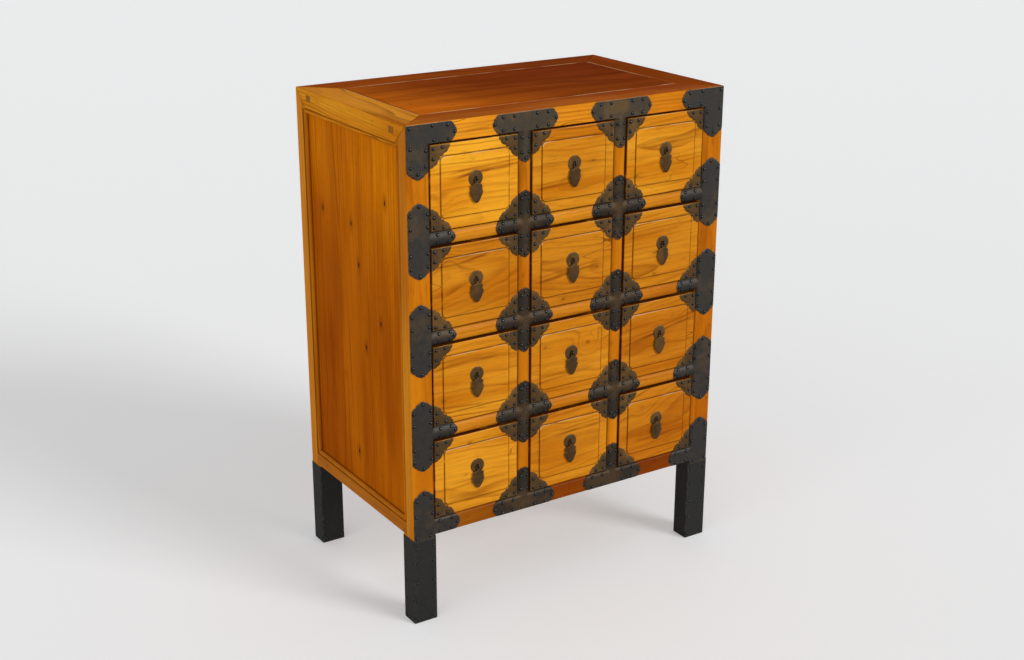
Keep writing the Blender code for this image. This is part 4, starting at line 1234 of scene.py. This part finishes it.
# Nails of each kind of mount about the middle of its crossing, x towards the mount's own arm
ARM_PAIRS = ((0.0190, 0.0062), (0.0410, 0.0062))
CROSS_TIP = 0.0475
SIDE_T_NAILS = (
    (0.0005, 0.0542), (-0.0152, 0.0410), (0.0148, 0.0410), (-0.0152, 0.0205), (0.0148, 0.0205),
    (0.0320, 0.0062), (0.0520, 0.0062), (0.0585, 0.0),
)
TOP_ANGLE_NAILS = (
    (-0.0135, 0.0100), (0.0252, 0.0112), (0.0277, -0.0103), (0.0513, 0.0100), (0.0529, -0.0113),
    (0.0632, -0.0015), (-0.0128, -0.0206), (0.0132, -0.0250), (-0.0003, -0.0590), (-0.0125, -0.0486),
    (0.0128, -0.0486),
)
BOTTOM_ANGLE_NAILS = (
    (0.0005, 0.0625), (-0.0130, 0.0520), (0.0135, 0.0520), (-0.0150, 0.0250), (0.0148, 0.0250),
    (0.0275, 0.0085), (0.0505, 0.0080), (0.0605, -0.0020), (0.0275, -0.0100), (0.0500, -0.0100),
    (-0.0148, -0.0125), (0.0100, -0.0140),
)
TOP_T_NAILS = ((0.0207, 0.0100), (0.0410, 0.0100), (0.0555, 0.0))
BOTTOM_T_NAILS = ((0.0215, 0.0080), (0.0420, 0.0078), (0.0560, -0.0010), (0.0215, -0.0098), (0.0420, -0.0098))
STEM_NAILS = ((0.0062, 0.0095), (0.0062, 0.0330))
STEM_TIP = 0.0420
DOT_STEP = 0.0034
DOT_INSET = 0.0022
# Dots stand in rows along the outer edges: from where to where, and how far apart
POST_DOT_LINE = 0.0178
POST_DOTS = np.arange(0.001, 0.045, 0.0035)
TOP_ANGLE_DOTS = np.arange(-0.016, 0.056, DOT_STEP)
TOP_T_DOTS = np.arange(-0.046, 0.047, DOT_STEP)
# How far round a rounded edge a sheet goes, as a share of its radius
ROUND_SHARE = math.sin(math.radians(60))
# Reach of the arms: those of a cross, then level and upright arms. Arms of an angle and the stem of
# a T are measured past the member that they leave, and the others from the middle of the crossing.
CROSS_REACH = 0.0545
SIDE_T_REACH = (0.0435, 0.0597)
TOP_ANGLE_REACH = (0.048, 0.053)
BOTTOM_ANGLE_REACH = (0.0465, 0.054)
TOP_T_REACH = (0.060, 0.049)
BOTTOM_T_REACH = (0.0615, 0.049)


def build_mounts():
    """All mounts on the front of the case, their nails and their punched dots."""
    nails = []
    dots = []
    divider = crown_member(DIVIDER)
    rail = crown_member(RAIL)
    half_post = POST_WIDTH / 2
    post_stop = half_post - POST_ROUND + POST_ROUND * ROUND_SHARE
    bottom_half = BOTTOM_RAIL / 2
    bottom_stop = bottom_half - BOTTOM_ROUND + BOTTOM_ROUND * ROUND_SHARE
    top_half = TOP_HIGH_RAIL / 2
    top = flat_member(-top_half + EDGE, top_half - EDGE)
    bottom = rounded_member(-bottom_half + EDGE, bottom_stop, bottom_half - BOTTOM_ROUND, BOTTOM_ROUND, 1)

    def mount(name, node, members, reach, forms, place, finish, spots, row=()):
        """One mount: its sheet over two members, its nails, and a row of dots."""
        piece(name, mount_surfaces(*members, reach, forms, place), "case", finish, [node], IRON)
        nails.append(studs(members, spots, place, NAIL))
        if len(row):
            dots.append(studs(members, row, place, DOT))

    def towards(spots, way):
        return [(way * x, z) for x, z in spots]

    def stem(way, half):
        """Nails of a stem that leaves a crossing upwards or downwards."""
        pairs = mirrored_spots([(x, way * (half + z)) for x, z in STEM_NAILS], "x")
        return [*pairs, (0.0, way * (half + STEM_TIP))]

    cross = mirrored_spots([*ARM_PAIRS, (CROSS_TIP, 0.0)], "xz")
    cross += mirrored_spots([*((z, x) for x, z in ARM_PAIRS), (0.0, CROSS_TIP)], "xz")
    arms = dict.fromkeys(("left", "right", "up", "down"), CROSS_REACH)
    round_forms = dict.fromkeys(arms, ROUND_END)
    for row in range(ROWS - 1):
        for column in range(COLUMNS - 1):
            node = f"cross_mount_rail{row + 1}_divider{column + 1}"
            name = f"cross_rail{row + 1}_{column + 1}"
            place = (divider_middle(column), deck_top(row) - RAIL / 2)
            mount(name, node, (divider, rail), arms, round_forms, place, CROSS_IRON, cross)

    side_forms = {"up": POINTED_END, "down": POINTED_END, "left": ROUND_END, "right": ROUND_END}
    top_forms = {"up": POINTED_END, "down": POINTED_END, "left": SPIKED_END, "right": SPIKED_END}
    bottom_forms = {"up": POINTED_END, "down": None, "left": ROUND_END, "right": ROUND_END}
    for side, side_name in ((-1, "left"), (1, "right")):
        way = -side
        low, high = sorted((way * post_stop, -way * (half_post - 2 * EDGE)))
        post = rounded_member(low, high, half_post - POST_ROUND, POST_ROUND, way)
        arm = "right" if way > 0 else "left"
        x = side * POST_MIDDLE
        reach = {"up": SIDE_T_REACH[1], "down": SIDE_T_REACH[1], arm: half_post + SIDE_T_REACH[0]}
        spots = mirrored_spots(towards(SIDE_T_NAILS, way), "z")
        edge_row = mirrored_spots([(-way * POST_DOT_LINE, z) for z in POST_DOTS], "z")
        for row in range(ROWS - 1):
            node = f"side_t_mount_{side_name}_rail{row + 1}"
            name = f"side_t_{side_name}_rail{row + 1}"
            place = (x, deck_top(row) - RAIL / 2)
            mount(name, node, (post, rail), reach, side_forms, place, MOUNT_IRON, spots, edge_row)
        reach = {arm: half_post + TOP_ANGLE_REACH[0], "down": top_half + TOP_ANGLE_REACH[1]}
        spots = towards(TOP_ANGLE_NAILS, way)
        edge_row = [(way * a, top_half - DOT_INSET) for a in TOP_ANGLE_DOTS]
        name = f"top_angle_{side_name}"
        node = f"top_angle_mount_{side_name}"
        mount(name, node, (post, top), reach, top_forms, (x, TOP_MIDDLE), MOUNT_IRON, spots, edge_row)
        reach = {arm: half_post + BOTTOM_ANGLE_REACH[0], "up": bottom_half + BOTTOM_ANGLE_REACH[1]}
        reach["down"] = BOTTOM_MIDDLE - SEAM
        spots = towards(BOTTOM_ANGLE_NAILS, way)
        name = f"bottom_angle_{side_name}"
        node = f"leg_sleeve_front_{side_name}"
        mount(name, node, (post, bottom), reach, bottom_forms, (x, BOTTOM_MIDDLE), MOUNT_IRON, spots)

    top_forms = round_forms | {"left": SPIKED_END, "right": SPIKED_END}
    for column in range(COLUMNS - 1):
        x = divider_middle(column)
        reach = {"left": TOP_T_REACH[0], "right": TOP_T_REACH[0], "down": top_half + TOP_T_REACH[1]}
        spots = mirrored_spots(TOP_T_NAILS, "xz") + stem(-1, top_half)
        edge_row = [(a, top_half - DOT_INSET) for a in TOP_T_DOTS]
        name = f"top_t_{column + 1}"
        node = f"top_t_mount_divider{column + 1}"
        mount(name, node, (divider, top), reach, top_forms, (x, TOP_MIDDLE), TOP_IRON, spots, edge_row)
        reach = {"left": BOTTOM_T_REACH[0], "right": BOTTOM_T_REACH[0], "up": bottom_half + BOTTOM_T_REACH[1]}
        spots = mirrored_spots(BOTTOM_T_NAILS, "x") + stem(1, bottom_half)
        name = f"bottom_t_{column + 1}"
        node = f"bottom_t_mount_divider{column + 1}"
        mount(name, node, (divider, bottom), reach, round_forms, (x, BOTTOM_MIDDLE), CROSS_IRON, spots)
    piece("mount_nails", nails, "case", NAIL_STEEL)
    piece("mount_dots", dots, "case", NAIL_STEEL)


SLEEVE_ROOM = 0.0003
SLEEVE_THICK = 0.0008
SLEEVE_ROWS = (0.0068, 0.0405, 0.0725, 0.1070, 0.1345)
SLEEVE_SPREAD = (0.0150, 0.0112)
# Nails of a sleeve, radius and height: on the front of a front leg, on other fronts and backs, on sides
SLEEVE_NAILS = {"front": (0.0026, 0.0016), "back": (0.0026, 0.0009), "side": (0.0025, 0.0009)}
# On a side, the row further back lies lower, but never under the lowest place
SIDE_ROW_DROP = 0.0044
LOWEST_NAIL = 0.0048


def build_sleeves():
    """Sheet iron round each leg: a rounded rectangle carried down the inside and up the outside."""
    nails = []
    inner = SLEEVE_ROOM
    outer = inner + SLEEVE_THICK
    ease = SLEEVE_THICK / 3
    steps = (
        (inner, SLEEVE_FOOT), (inner, SLEEVE_TOP), (outer - ease, SLEEVE_TOP),
        (outer, SLEEVE_TOP - ease), (outer, SLEEVE_TOP - 0.002), (outer, SLEEVE_FOOT + 0.002),
        (outer, SLEEVE_FOOT + ease), (outer - ease, SLEEVE_FOOT), (inner, SLEEVE_FOOT),
    )
    for face, face_name in ((-1, "front"), (1, "back")):
        for side, side_name in ((-1, "left"), (1, "right")):
            centre = np.array((side * POST_MIDDLE, face * (REAR - POST_DEPTH / 2)))
            rings = []
            worn = []
            for out, z in steps:
                section, corner = rounded_section(POST_WIDTH / 2 + out, POST_DEPTH / 2 + out, [EASE + out] * 4)
                rings.append(np.column_stack((section + centre, np.full(len(section), z))))
                at_end = z > SLEEVE_TOP - 0.001 or z < SLEEVE_FOOT + 0.001
                worn.append(np.where(corner >= 0, 0.8, 1.0 if at_end else 0.0))
            shape = grid_surface(np.array(rings), True, worn=np.array(worn).ravel())
            name = f"leg_sleeve_{face_name}_{side_name}"
            piece(name + "_tube", [shape], "case", SLEEVE_IRON, [name])
            for z in SLEEVE_ROWS:
                for across_leg in (-1, 1):
                    x = centre[0] + across_leg * SLEEVE_SPREAD[0]
                    y = centre[1] + across_leg * SLEEVE_SPREAD[1]
                    lower = max(z - SIDE_ROW_DROP * (across_leg > 0), LOWEST_NAIL)
                    for way in (-1, 1):
                        front_y = centre[1] + way * (POST_DEPTH / 2 + outer)
                        side_x = centre[0] + way * (POST_WIDTH / 2 + outer)
                        size = SLEEVE_NAILS["front" if face < 0 and way < 0 else "back"]
                        nails.append(heads((x, front_y, z), (0, way, 0), *size))
                        nails.append(heads((side_x, y, lower), (way, 0, 0), *SLEEVE_NAILS["side"]))
    piece("sleeve_nails", nails, "case", NAIL_STEEL)


# Drawers


LOOP_STEPS = 7


def rounded_loop(half_x, half_z, radius):
    """Points of a rectangle with round corners, the same number at each corner for every size."""
    points = []
    for number, (sx, sz) in enumerate(((1, 1), (-1, 1), (-1, -1), (1, -1))):
        centre = np.array((sx * (half_x - radius), sz * (half_z - radius)))
        angles = arc(number * math.pi / 2, math.pi / 2, LOOP_STEPS)
        points.append(centre + radius * np.stack((np.cos(angles), np.sin(angles)), axis=1))
    return np.concatenate(points)


FIELD = -BORDER_RISE - FIELD_RISE
# Numbers of rings whose upper part is free of the edge's painted shade, whose upper part carries a painted
# highlight, and whose upper left corner carries the painted highlight once more
UNSHADED_RINGS = (3, 4)
HIGHLIGHT_RINGS = (4, 9, 10)
HIGHLIGHT_CORNER_RINGS = (9, 10)
# Rings of a drawer front: inset, corner radius, depth and darkening. Edge rings lie inside the front's
# edge, field rings inside the field's edge. On the edge rings the darkening is painted shade of the gap
# round the drawer; on the field rings it is dirt in the fine groove.
EDGE_RINGS = (
    (0.0006, 0.0004, FRONT_THICK, 0.0), (0.0, 0.0010, FRONT_THICK - 0.0006, 1.0), (0.0, 0.0010, 0.0008, 1.0),
    (0.0002, 0.0009, 0.0002, 0.9), (0.0008, 0.0008, 0.0, 0.35), (0.0020, 0.0012, -0.00005, 0.0),
)
FIELD_RINGS = (
    (-0.0024, FIELD_CORNER + 0.0016, -BORDER_RISE + 0.0001, 0.0),
    (-0.0007, FIELD_CORNER + 0.0005, -BORDER_RISE + 0.0002, 0.65),
    (0.0, FIELD_CORNER, -BORDER_RISE + 0.0003, 0.95), (0.0003, FIELD_CORNER, FIELD + 0.0005, 0.5),
    (0.0009, FIELD_CORNER - 0.0003, FIELD + 0.0001, 0.0), (0.0018, FIELD_CORNER - 0.0006, FIELD, 0.0),
)


def front_surface(half_x, half_z):
    """Front board: rounded rectangles, one inside the other, from its back over its edge to the field.

    The border rises a little towards a fine dark groove, and the field stands up beyond it.
    """
    steps = [(half_x - inset, half_z - inset, *rest) for inset, *rest in EDGE_RINGS]
    field_x = half_x - BORDER_SIDE
    field_z = half_z - BORDER_TOP
    steps += [(field_x - inset, field_z - inset, *rest) for inset, *rest in FIELD_RINGS]
    rings = []
    crease = []
    worn = []
    for number, (ring_x, ring_z, radius, y, dirt_and_shade) in enumerate(steps):
        flat = rounded_loop(ring_x, ring_z, radius)
        rings.append(np.column_stack((flat[:, 0], np.full(len(flat), y), flat[:, 1])))
        upper = flat[:, 1] > ring_z - radius + TINY
        corner = upper & (flat[:, 0] < -(ring_x - radius) + TINY)
        # Painted shade on the front's edge and dirt in the groove, then a painted highlight along the upper edges
        crease.append(np.where(upper & (number in UNSHADED_RINGS), 0.0, dirt_and_shade))
        worn.append(0.5 * (upper & (number in HIGHLIGHT_RINGS)) + 0.5 * (corner & (number in HIGHLIGHT_CORNER_RINGS)))
    for y, at in ((FRONT_THICK, 0), (FIELD, len(rings) + 1)):
        rings.insert(at, np.tile((0.0, y, 0.0), (len(rings[1]), 1)))
        crease.insert(at, np.zeros(len(rings[1])))
        worn.insert(at, np.zeros(len(rings[1])))
    quads = grid_quads(len(rings), len(rings[0]), closed=True)
    return np.array(rings).reshape(-1, 3), quads, np.concatenate(crease), np.concatenate(worn)


PLATE_LEG = 0.0342
PLATE_SHEET = 0.0008
PLATE_CUSPS = (
    (0.0, 0.0, 0.0013), (0.125, 0.0026, 0.0019), (0.354, 0.0017, 0.0015), (0.5, 0.0002, 0.0015),
    (0.646, 0.0017, 0.0019), (0.875, 0.0026, 0.0013), (1.0, 0.0, 0.0),
)
PLATE_NAILS = ((0.0058, 0.0056), (0.0215, 0.0046), (0.0056, 0.0212))
PLATE_INSET = 0.0004
PLATE_SHARES = np.array((0.0, 0.03, 0.25, 0.5, 0.75, 0.975, 1.0))


def border_depth(x, z, half_x, half_z):
    """Height of the border above its outer edge: it grows with the distance from the nearer edge."""
    near_x = (half_x - np.abs(x)) / BORDER_SIDE
    near_z = (half_z - np.abs(z)) / BORDER_TOP
    return BORDER_RISE * np.clip(np.minimum(near_x, near_z), 0, 1)


def plate_surface(sx, sz, half_x, half_z):
    """Corner plate: lines fan out from its corner to a long edge of lobes between cusps, broad at its ends."""
    share = np.linspace(0, 1, 49)
    straight = np.stack((1 - share, share), axis=1) * PLATE_LEG
    offset = np.zeros_like(share)
    for (s, out, bulge), (next_s, next_out, _) in zip(PLATE_CUSPS, PLATE_CUSPS[1:]):
        t = (share - s) / (next_s - s)
        inside = (t >= 0) & (t <= 1)
        offset = np.where(inside, out + (next_out - out) * t + bulge * 4 * t * (1 - t), offset)
    rim = np.maximum(straight + offset[:, None] * math.sqrt(0.5), 0)
    flat = PLATE_SHARES[:, None, None] * rim[None, :, :]
    edge = np.zeros(flat.shape[:2])
    edge[:, 0] = edge[:, -1] = edge[-1, :] = 1
    x = sx * (half_x - PLATE_INSET - flat[:, :, 0])
    z = sz * (half_z - PLATE_INSET - flat[:, :, 1])
    y = -border_depth(x, z, half_x, half_z) - PLATE_SHEET + edge * 0.0003
    return grid_surface(np.stack((x, y, z), axis=-1), worn=edge.ravel())


DISC_SIDES = 40
WIRE_SIDES = 12


def revolved(profile, centre):
    """A profile of radius and y turned about the line through centre, along y."""
    profile = np.array(profile, float)
    angle = circle(DISC_SIDES)
    x = centre[0] + profile[:, :1] * np.cos(angle)
    z = centre[1] + profile[:, :1] * np.sin(angle)
    y = np.broadcast_to(profile[:, 1:], x.shape)
    return np.stack((x, y, z), axis=-1)


def tube(path, radii):
    """A round wire along a path in the plane across x, drawn in to a point at both ends."""
    path = np.array(path, float)
    ahead = np.gradient(path, axis=0)
    ahead /= np.linalg.norm(ahead, axis=1, keepdims=True)
    angle = circle(WIRE_SIDES)
    side = np.array((1.0, 0.0, 0.0))
    across = np.cross(ahead, side)
    radii = np.asarray(radii)[:, None, None]
    ring = np.cos(angle)[None, :, None] * side + np.sin(angle)[None, :, None] * across[:, None, :]
    points = path[:, None, :] + radii * ring
    return grid_surface(points, True)


EYE_RADIUS = 0.00275
EYE_WIRE = 0.00115
EYE_STEPS = 24
DROP_SIDES = 20
# The drop thins out where it is less than this wide on each side
DROP_THIN = 0.0035
# Half outline of the drop below its eye, as shares of half its width and of its length
DROP_HALF = (
    (0.00, 0.135), (0.12, 0.140), (0.17, 0.165), (0.20, 0.195), (0.46, 0.215), (0.76, 0.240), (0.90, 0.275),
    (0.98, 0.32), (0.97, 0.37), (0.90, 0.425), (0.97, 0.47), (1.07, 0.525), (1.04, 0.59), (0.91, 0.69),
    (0.73, 0.79), (0.54, 0.88), (0.34, 0.95), (0.17, 0.985), (0.00, 1.00),
)


def drop_surfaces():
    """Drop: a lens whose half width follows the outline, with a ring at its head for the staple."""
    outline = np.array(DROP_HALF)
    half = outline[:, 0] * DROP_WIDTH / 2
    down = -outline[:, 1] * DROP_LENGTH
    angle = circle(DROP_SIDES)
    thick = DROP_THICK / 2 * np.minimum(half / DROP_THIN, 1) ** 0.7
    round_x = np.sign(np.cos(angle)) * np.abs(np.cos(angle)) ** 0.75
    x = half[:, None] * round_x
    y = thick[:, None] * np.sin(angle)
    z = np.broadcast_to(down[:, None], x.shape)
    worn = np.broadcast_to(np.abs(np.cos(angle)) ** 6, x.shape)
    body = grid_surface(np.stack((x, y, z), axis=-1), True, worn=worn.ravel())
    turn = arc(0, 2 * math.pi, EYE_STEPS)
    out = EYE_RADIUS + EYE_WIRE * np.cos(angle)[None, :]
    x = out * np.cos(turn)[:, None]
    z = out * np.sin(turn)[:, None] - STAPLE_RADIUS
    y = np.broadcast_to(DROP_THICK / 2 * np.sin(angle)[None, :], x.shape)
    return [body, grid_surface(np.stack((x, y, z), axis=-1), True)]


# Knots in the drawer fronts: row and column, place about the middle of the front, and how strong
KNOTS = {
    (3, 2): (0.033, 0.019, 1.0),
    (3, 3): (0.028, 0.034, 0.35),
    (4, 3): (-0.030, 0.034, 0.45),
    (2, 1): (-0.048, 0.040, -0.5),
    (1, 1): (-0.062, -0.024, 0.35),
}
NO_KNOT = (0.5, 0.5, 0.0)
# A knot is this many times as wide as it is high
KNOT_WIDTH = 1.25
# Dark streaks: place about the middle of the front, slope, half length and strength
STREAKS = {
    (1, 1): (0.022, 0.016, 0.09, 0.075, 1.0),
    (1, 2): (-0.030, -0.025, 0.05, 0.045, 0.8),
    (1, 3): (0.010, 0.018, 0.06, 0.080, 0.7),
    (2, 1): (-0.030, 0.038, 0.10, 0.060, 0.8),
    (2, 2): (-0.010, -0.014, 0.10, 0.070, 0.8),
    (2, 3): (0.000, 0.030, 0.08, 0.080, 0.6),
    (3, 1): (-0.020, 0.030, 0.02, 0.080, 0.6),
    (3, 2): (-0.020, -0.030, 0.10, 0.070, 0.6),
    (3, 3): (0.000, 0.010, 0.22, 0.080, 0.9),
    (4, 1): (0.000, -0.020, 0.03, 0.080, 0.5),
    (4, 2): (0.000, 0.024, 0.05, 0.080, 0.8),
    (4, 3): (0.010, -0.026, 0.06, 0.070, 0.7),
}
# Tone of each drawer front: partly its own, partly painted shade that darkens the fronts towards the lower right
DRAWER_TONES = {
    (1, 1): 0.65, (1, 2): -0.20, (1, 3): 0.12, (2, 1): -0.48, (2, 2): -0.65, (2, 3): -0.45,
    (3, 1): -0.15, (3, 2): -0.30, (3, 3): -0.75, (4, 1): 0.05, (4, 2): -0.35, (4, 3): -0.82,
}


def front_marks(points, key, number):
    """Marks of a drawer front: grain from a place of its own, its knot, its streak and its tone."""
    x, _, z = points.T
    grain = points[:, (0, 2, 1)] + (np.random.default_rng(number).uniform(0, 40), 0, 0)
    knot_x, knot_z, strength = KNOTS.get(key, NO_KNOT)
    knot = np.column_stack((x - knot_x, (z - knot_z) * KNOT_WIDTH, np.full(len(x), strength)))
    return {"grain": grain, "knot": knot, "streak": streak_mark(x, z, *STREAKS[key]), "tone": DRAWER_TONES[key]}


def build_drawers():
    """Each drawer: front, tray, backplate, staple, drop, and four corner plates with their nails."""
    for number, (row, column) in enumerate(np.ndindex(ROWS, COLUMNS), 300):
        spot = f"row{row + 1}_col{column + 1}"
        node = f"drawer_{spot}"
        low, high = extent(node)
        x, _, z = (high + low) / 2
        half_x, _, half_z = (high - low) / 2
        points, quads, crease, worn = front_surface(half_x, half_z)
        marks = front_marks(points, (row + 1, column + 1), number)
        front = Surface(points, quads, crease=crease, worn=worn, **marks).moved(x, FACE, z)
        piece(f"drawer_front_{spot}", [front], node, DRAWER_ELM, [node])

        side = half_x - 0.001
        start = FACE + FRONT_THICK - 0.0005
        end = high[1]
        top = high[2] - TRAY_LOWER
        left = x - side + TRAY_WALL
        right = x + side - TRAY_WALL
        tray = [
            board((x - side, start, low[2]), (left, end, top), "Y", number),
            board((right, start, low[2]), (x + side, end, top), "Y", number + 20),
            board((left, end - TRAY_WALL, low[2]), (right, end, top), "X", number + 40),
            board((left, start, low[2]), (right, end - TRAY_WALL, low[2] + TRAY_BOTTOM), "X", number + 60),
        ]
        piece(f"drawer_tray_{spot}", tray, node, INSIDE_ELM, [node])

        corners = [(sx, sz) for sx in (-1, 1) for sz in (-1, 1)]
        plates = [plate_surface(sx, sz, half_x, half_z).moved(x, FACE, z) for sx, sz in corners]
        piece(f"corner_plates_{spot}", plates, node, PLATE_IRON, set_back=PLATE_SHEET)
        spots = np.array([(sx * (half_x - a), sz * (half_z - b)) for sx, sz in corners for a, b in PLATE_NAILS])
        y = FACE - border_depth(spots[:, 0], spots[:, 1], half_x, half_z) - PLATE_SHEET
        places = np.column_stack((spots[:, 0] + x, y, spots[:, 1] + z))
        piece(f"plate_nails_{spot}", [heads(places, (0, -1, 0), *NAIL)], node, NAIL_STEEL)
        build_pull(spot, node, f"pull_drop_{spot}", x, z + PULL_RISE)


BEND_STEPS = 12
# How deep the staple's ends go in behind the field, and the length of their points
STAPLE_DEPTH = 0.004
STAPLE_POINT = 0.0001


def build_pull(spot, node, drop_node, x, z):
    """Backplate turned about its middle, staple bent from wire, and the drop."""
    field = FACE + FIELD
    plate = field - PLATE_THICK
    axis = plate - STAPLE_STAND
    r = PLATE_RADIUS
    profile = (
        (0, field + 0.0006), (r - 0.0004, field + 0.0006), (r, field - 0.0002), (r, plate + 0.0004),
        (r - 0.0004, plate + 0.0001), (r - 0.0011, plate), (r * 0.72, plate - 0.0001),
        (r * 0.4, plate - 0.0003), (0, plate - 0.0003),
    )
    points = revolved(profile, (x, z))
    worn = np.zeros(points.shape[:2])
    worn[2:5] = 1
    disc = grid_surface(points, True, worn=worn.ravel())
    piece(f"pull_backplate_{spot}", [disc], node, PULL_IRON, [node])
    turn = arc(math.pi / 2, math.pi, BEND_STEPS)
    bend = np.column_stack((axis + STAPLE_RADIUS * np.cos(turn), STAPLE_RADIUS * np.sin(turn)))
    along = (field + STAPLE_DEPTH, field + STAPLE_DEPTH - STAPLE_POINT, axis + 0.0005)
    upper = [(y, STAPLE_RADIUS) for y in along]
    lower = [(y, -STAPLE_RADIUS) for y in reversed(along)]
    path = np.array([(x, y, z + height) for y, height in (*upper, *bend, *lower)])
    radii = np.array([0.0, *[STAPLE_WIRE] * (len(path) - 2), 0.0])
    piece(f"pull_staple_{spot}", [tube(path, radii)], node, NAIL_STEEL, [node])
    hung = [surface.moved(x, axis, z) for surface in drop_surfaces()]
    piece(f"drop_{spot}", hung, drop_node, DROP_IRON, [drop_node])


# Camera, light and floor

CAMERA_PLACE = (-1.3421, -2.0804, 1.2766)
CAMERA_TURN = math.radians(32.908)
CAMERA_TILT = math.radians(19.605)
CAMERA_ROLL = math.radians(0.136)
CAMERA_LENS = 53.24

# Suns: where each shines from, its strength, and its width in degrees
SUNS = (("key", (0.42, -0.82, 0.38), 2.0, 26), ("fill", (-0.90, -0.38, 0.22), 1.0, 70))
SEEN_STRENGTH = 0.88
LIGHT_STRENGTH = 0.35
FLOOR_GLOW = 0.26
FLOOR_RADII = np.arange(15)
FLOOR_SIDES = 48
WHITE = (1.0, 1.0, 1.0, 1.0)


def facing(ahead, right):
    """Turn of a camera or lamp that looks ahead, with this direction on its right."""
    return Matrix(np.column_stack((right, np.cross(right, ahead), -ahead)).tolist()).to_4x4()


def build_camera():
    """Camera at the photograph's place: it looks along its turn and tilt, with a hint of roll."""
    ahead = np.array((
        math.sin(CAMERA_TURN) * math.cos(CAMERA_TILT),
        math.cos(CAMERA_TURN) * math.cos(CAMERA_TILT),
        -math.sin(CAMERA_TILT),
    ))
    level = np.array((math.cos(CAMERA_TURN), -math.sin(CAMERA_TURN), 0.0))
    above = np.cross(level, ahead)
    right = math.cos(CAMERA_ROLL) * level + math.sin(CAMERA_ROLL) * above
    data = bpy.data.cameras.new("camera")
    data.lens = CAMERA_LENS
    data.sensor_width = 36.0
    camera = bpy.data.objects.new("camera", data)
    camera.matrix_world = Matrix.Translation(CAMERA_PLACE) @ facing(ahead, right)
    bpy.context.scene.collection.objects.link(camera)
    bpy.context.scene.camera = camera


def add_sun(name, towards, strength, width):
    """A sun that shines from a direction, as wide as an angle in degrees."""
    data = bpy.data.lights.new(name, "SUN")
    data.energy = strength
    data.angle = math.radians(width)
    lamp = bpy.data.objects.new(name, data)
    ahead = -np.array(towards, float)
    ahead /= np.linalg.norm(ahead)
    side = np.cross(ahead, (0.0, 0.0, 1.0))
    side /= np.linalg.norm(side)
    lamp.matrix_world = facing(ahead, side)
    bpy.context.scene.collection.objects.link(lamp)


def build_studio():
    """Pale floor and a pale, even surround: brighter to the camera and in gloss than as a light."""
    world = bpy.data.worlds.new("studio")
    bpy.context.scene.world = world
    world.use_nodes = True
    w = Wiring(world.node_tree)
    light_path = w.node("ShaderNodeLightPath").outputs
    seen = w.math("MAXIMUM", light_path["Is Camera Ray"], light_path["Is Transmission Ray"])
    seen = w.math("MAXIMUM", seen, light_path["Is Glossy Ray"])
    strength = w.plus(w.times(seen, SEEN_STRENGTH - LIGHT_STRENGTH), LIGHT_STRENGTH)
    w.give(world.node_tree.nodes["Background"], Color=WHITE, Strength=strength)
    for name, *sun in SUNS:
        add_sun(name, *sun)

    radius, angle = np.meshgrid(FLOOR_RADII, circle(FLOOR_SIDES), indexing="ij")
    points = np.stack((radius * np.cos(angle), radius * np.sin(angle), 0 * radius), axis=-1)
    floor_material, w, principled = shader("floor_paint", {"Roughness": 0.6, "Specular IOR Level": 0.2})
    seen = w.node("ShaderNodeLightPath").outputs["Is Camera Ray"]
    glow = w.times(seen, FLOOR_GLOW)
    w.give(principled, Base_Color=paint(228, 229, 230), Emission_Color=WHITE, Emission_Strength=glow)
    mesh = mesh_of("floor", [grid_surface(points, True)])
    mesh.materials.append(floor_material)
    floor = bpy.data.objects.new("floor", mesh)
    bpy.context.scene.collection.objects.link(floor)


build_camera()
build_studio()
build_posts()
build_top()
build_sides()
build_decks()
build_mounts()
build_sleeves()
build_drawers()

bpy.context.scene.view_settings.view_transform = "Standard"
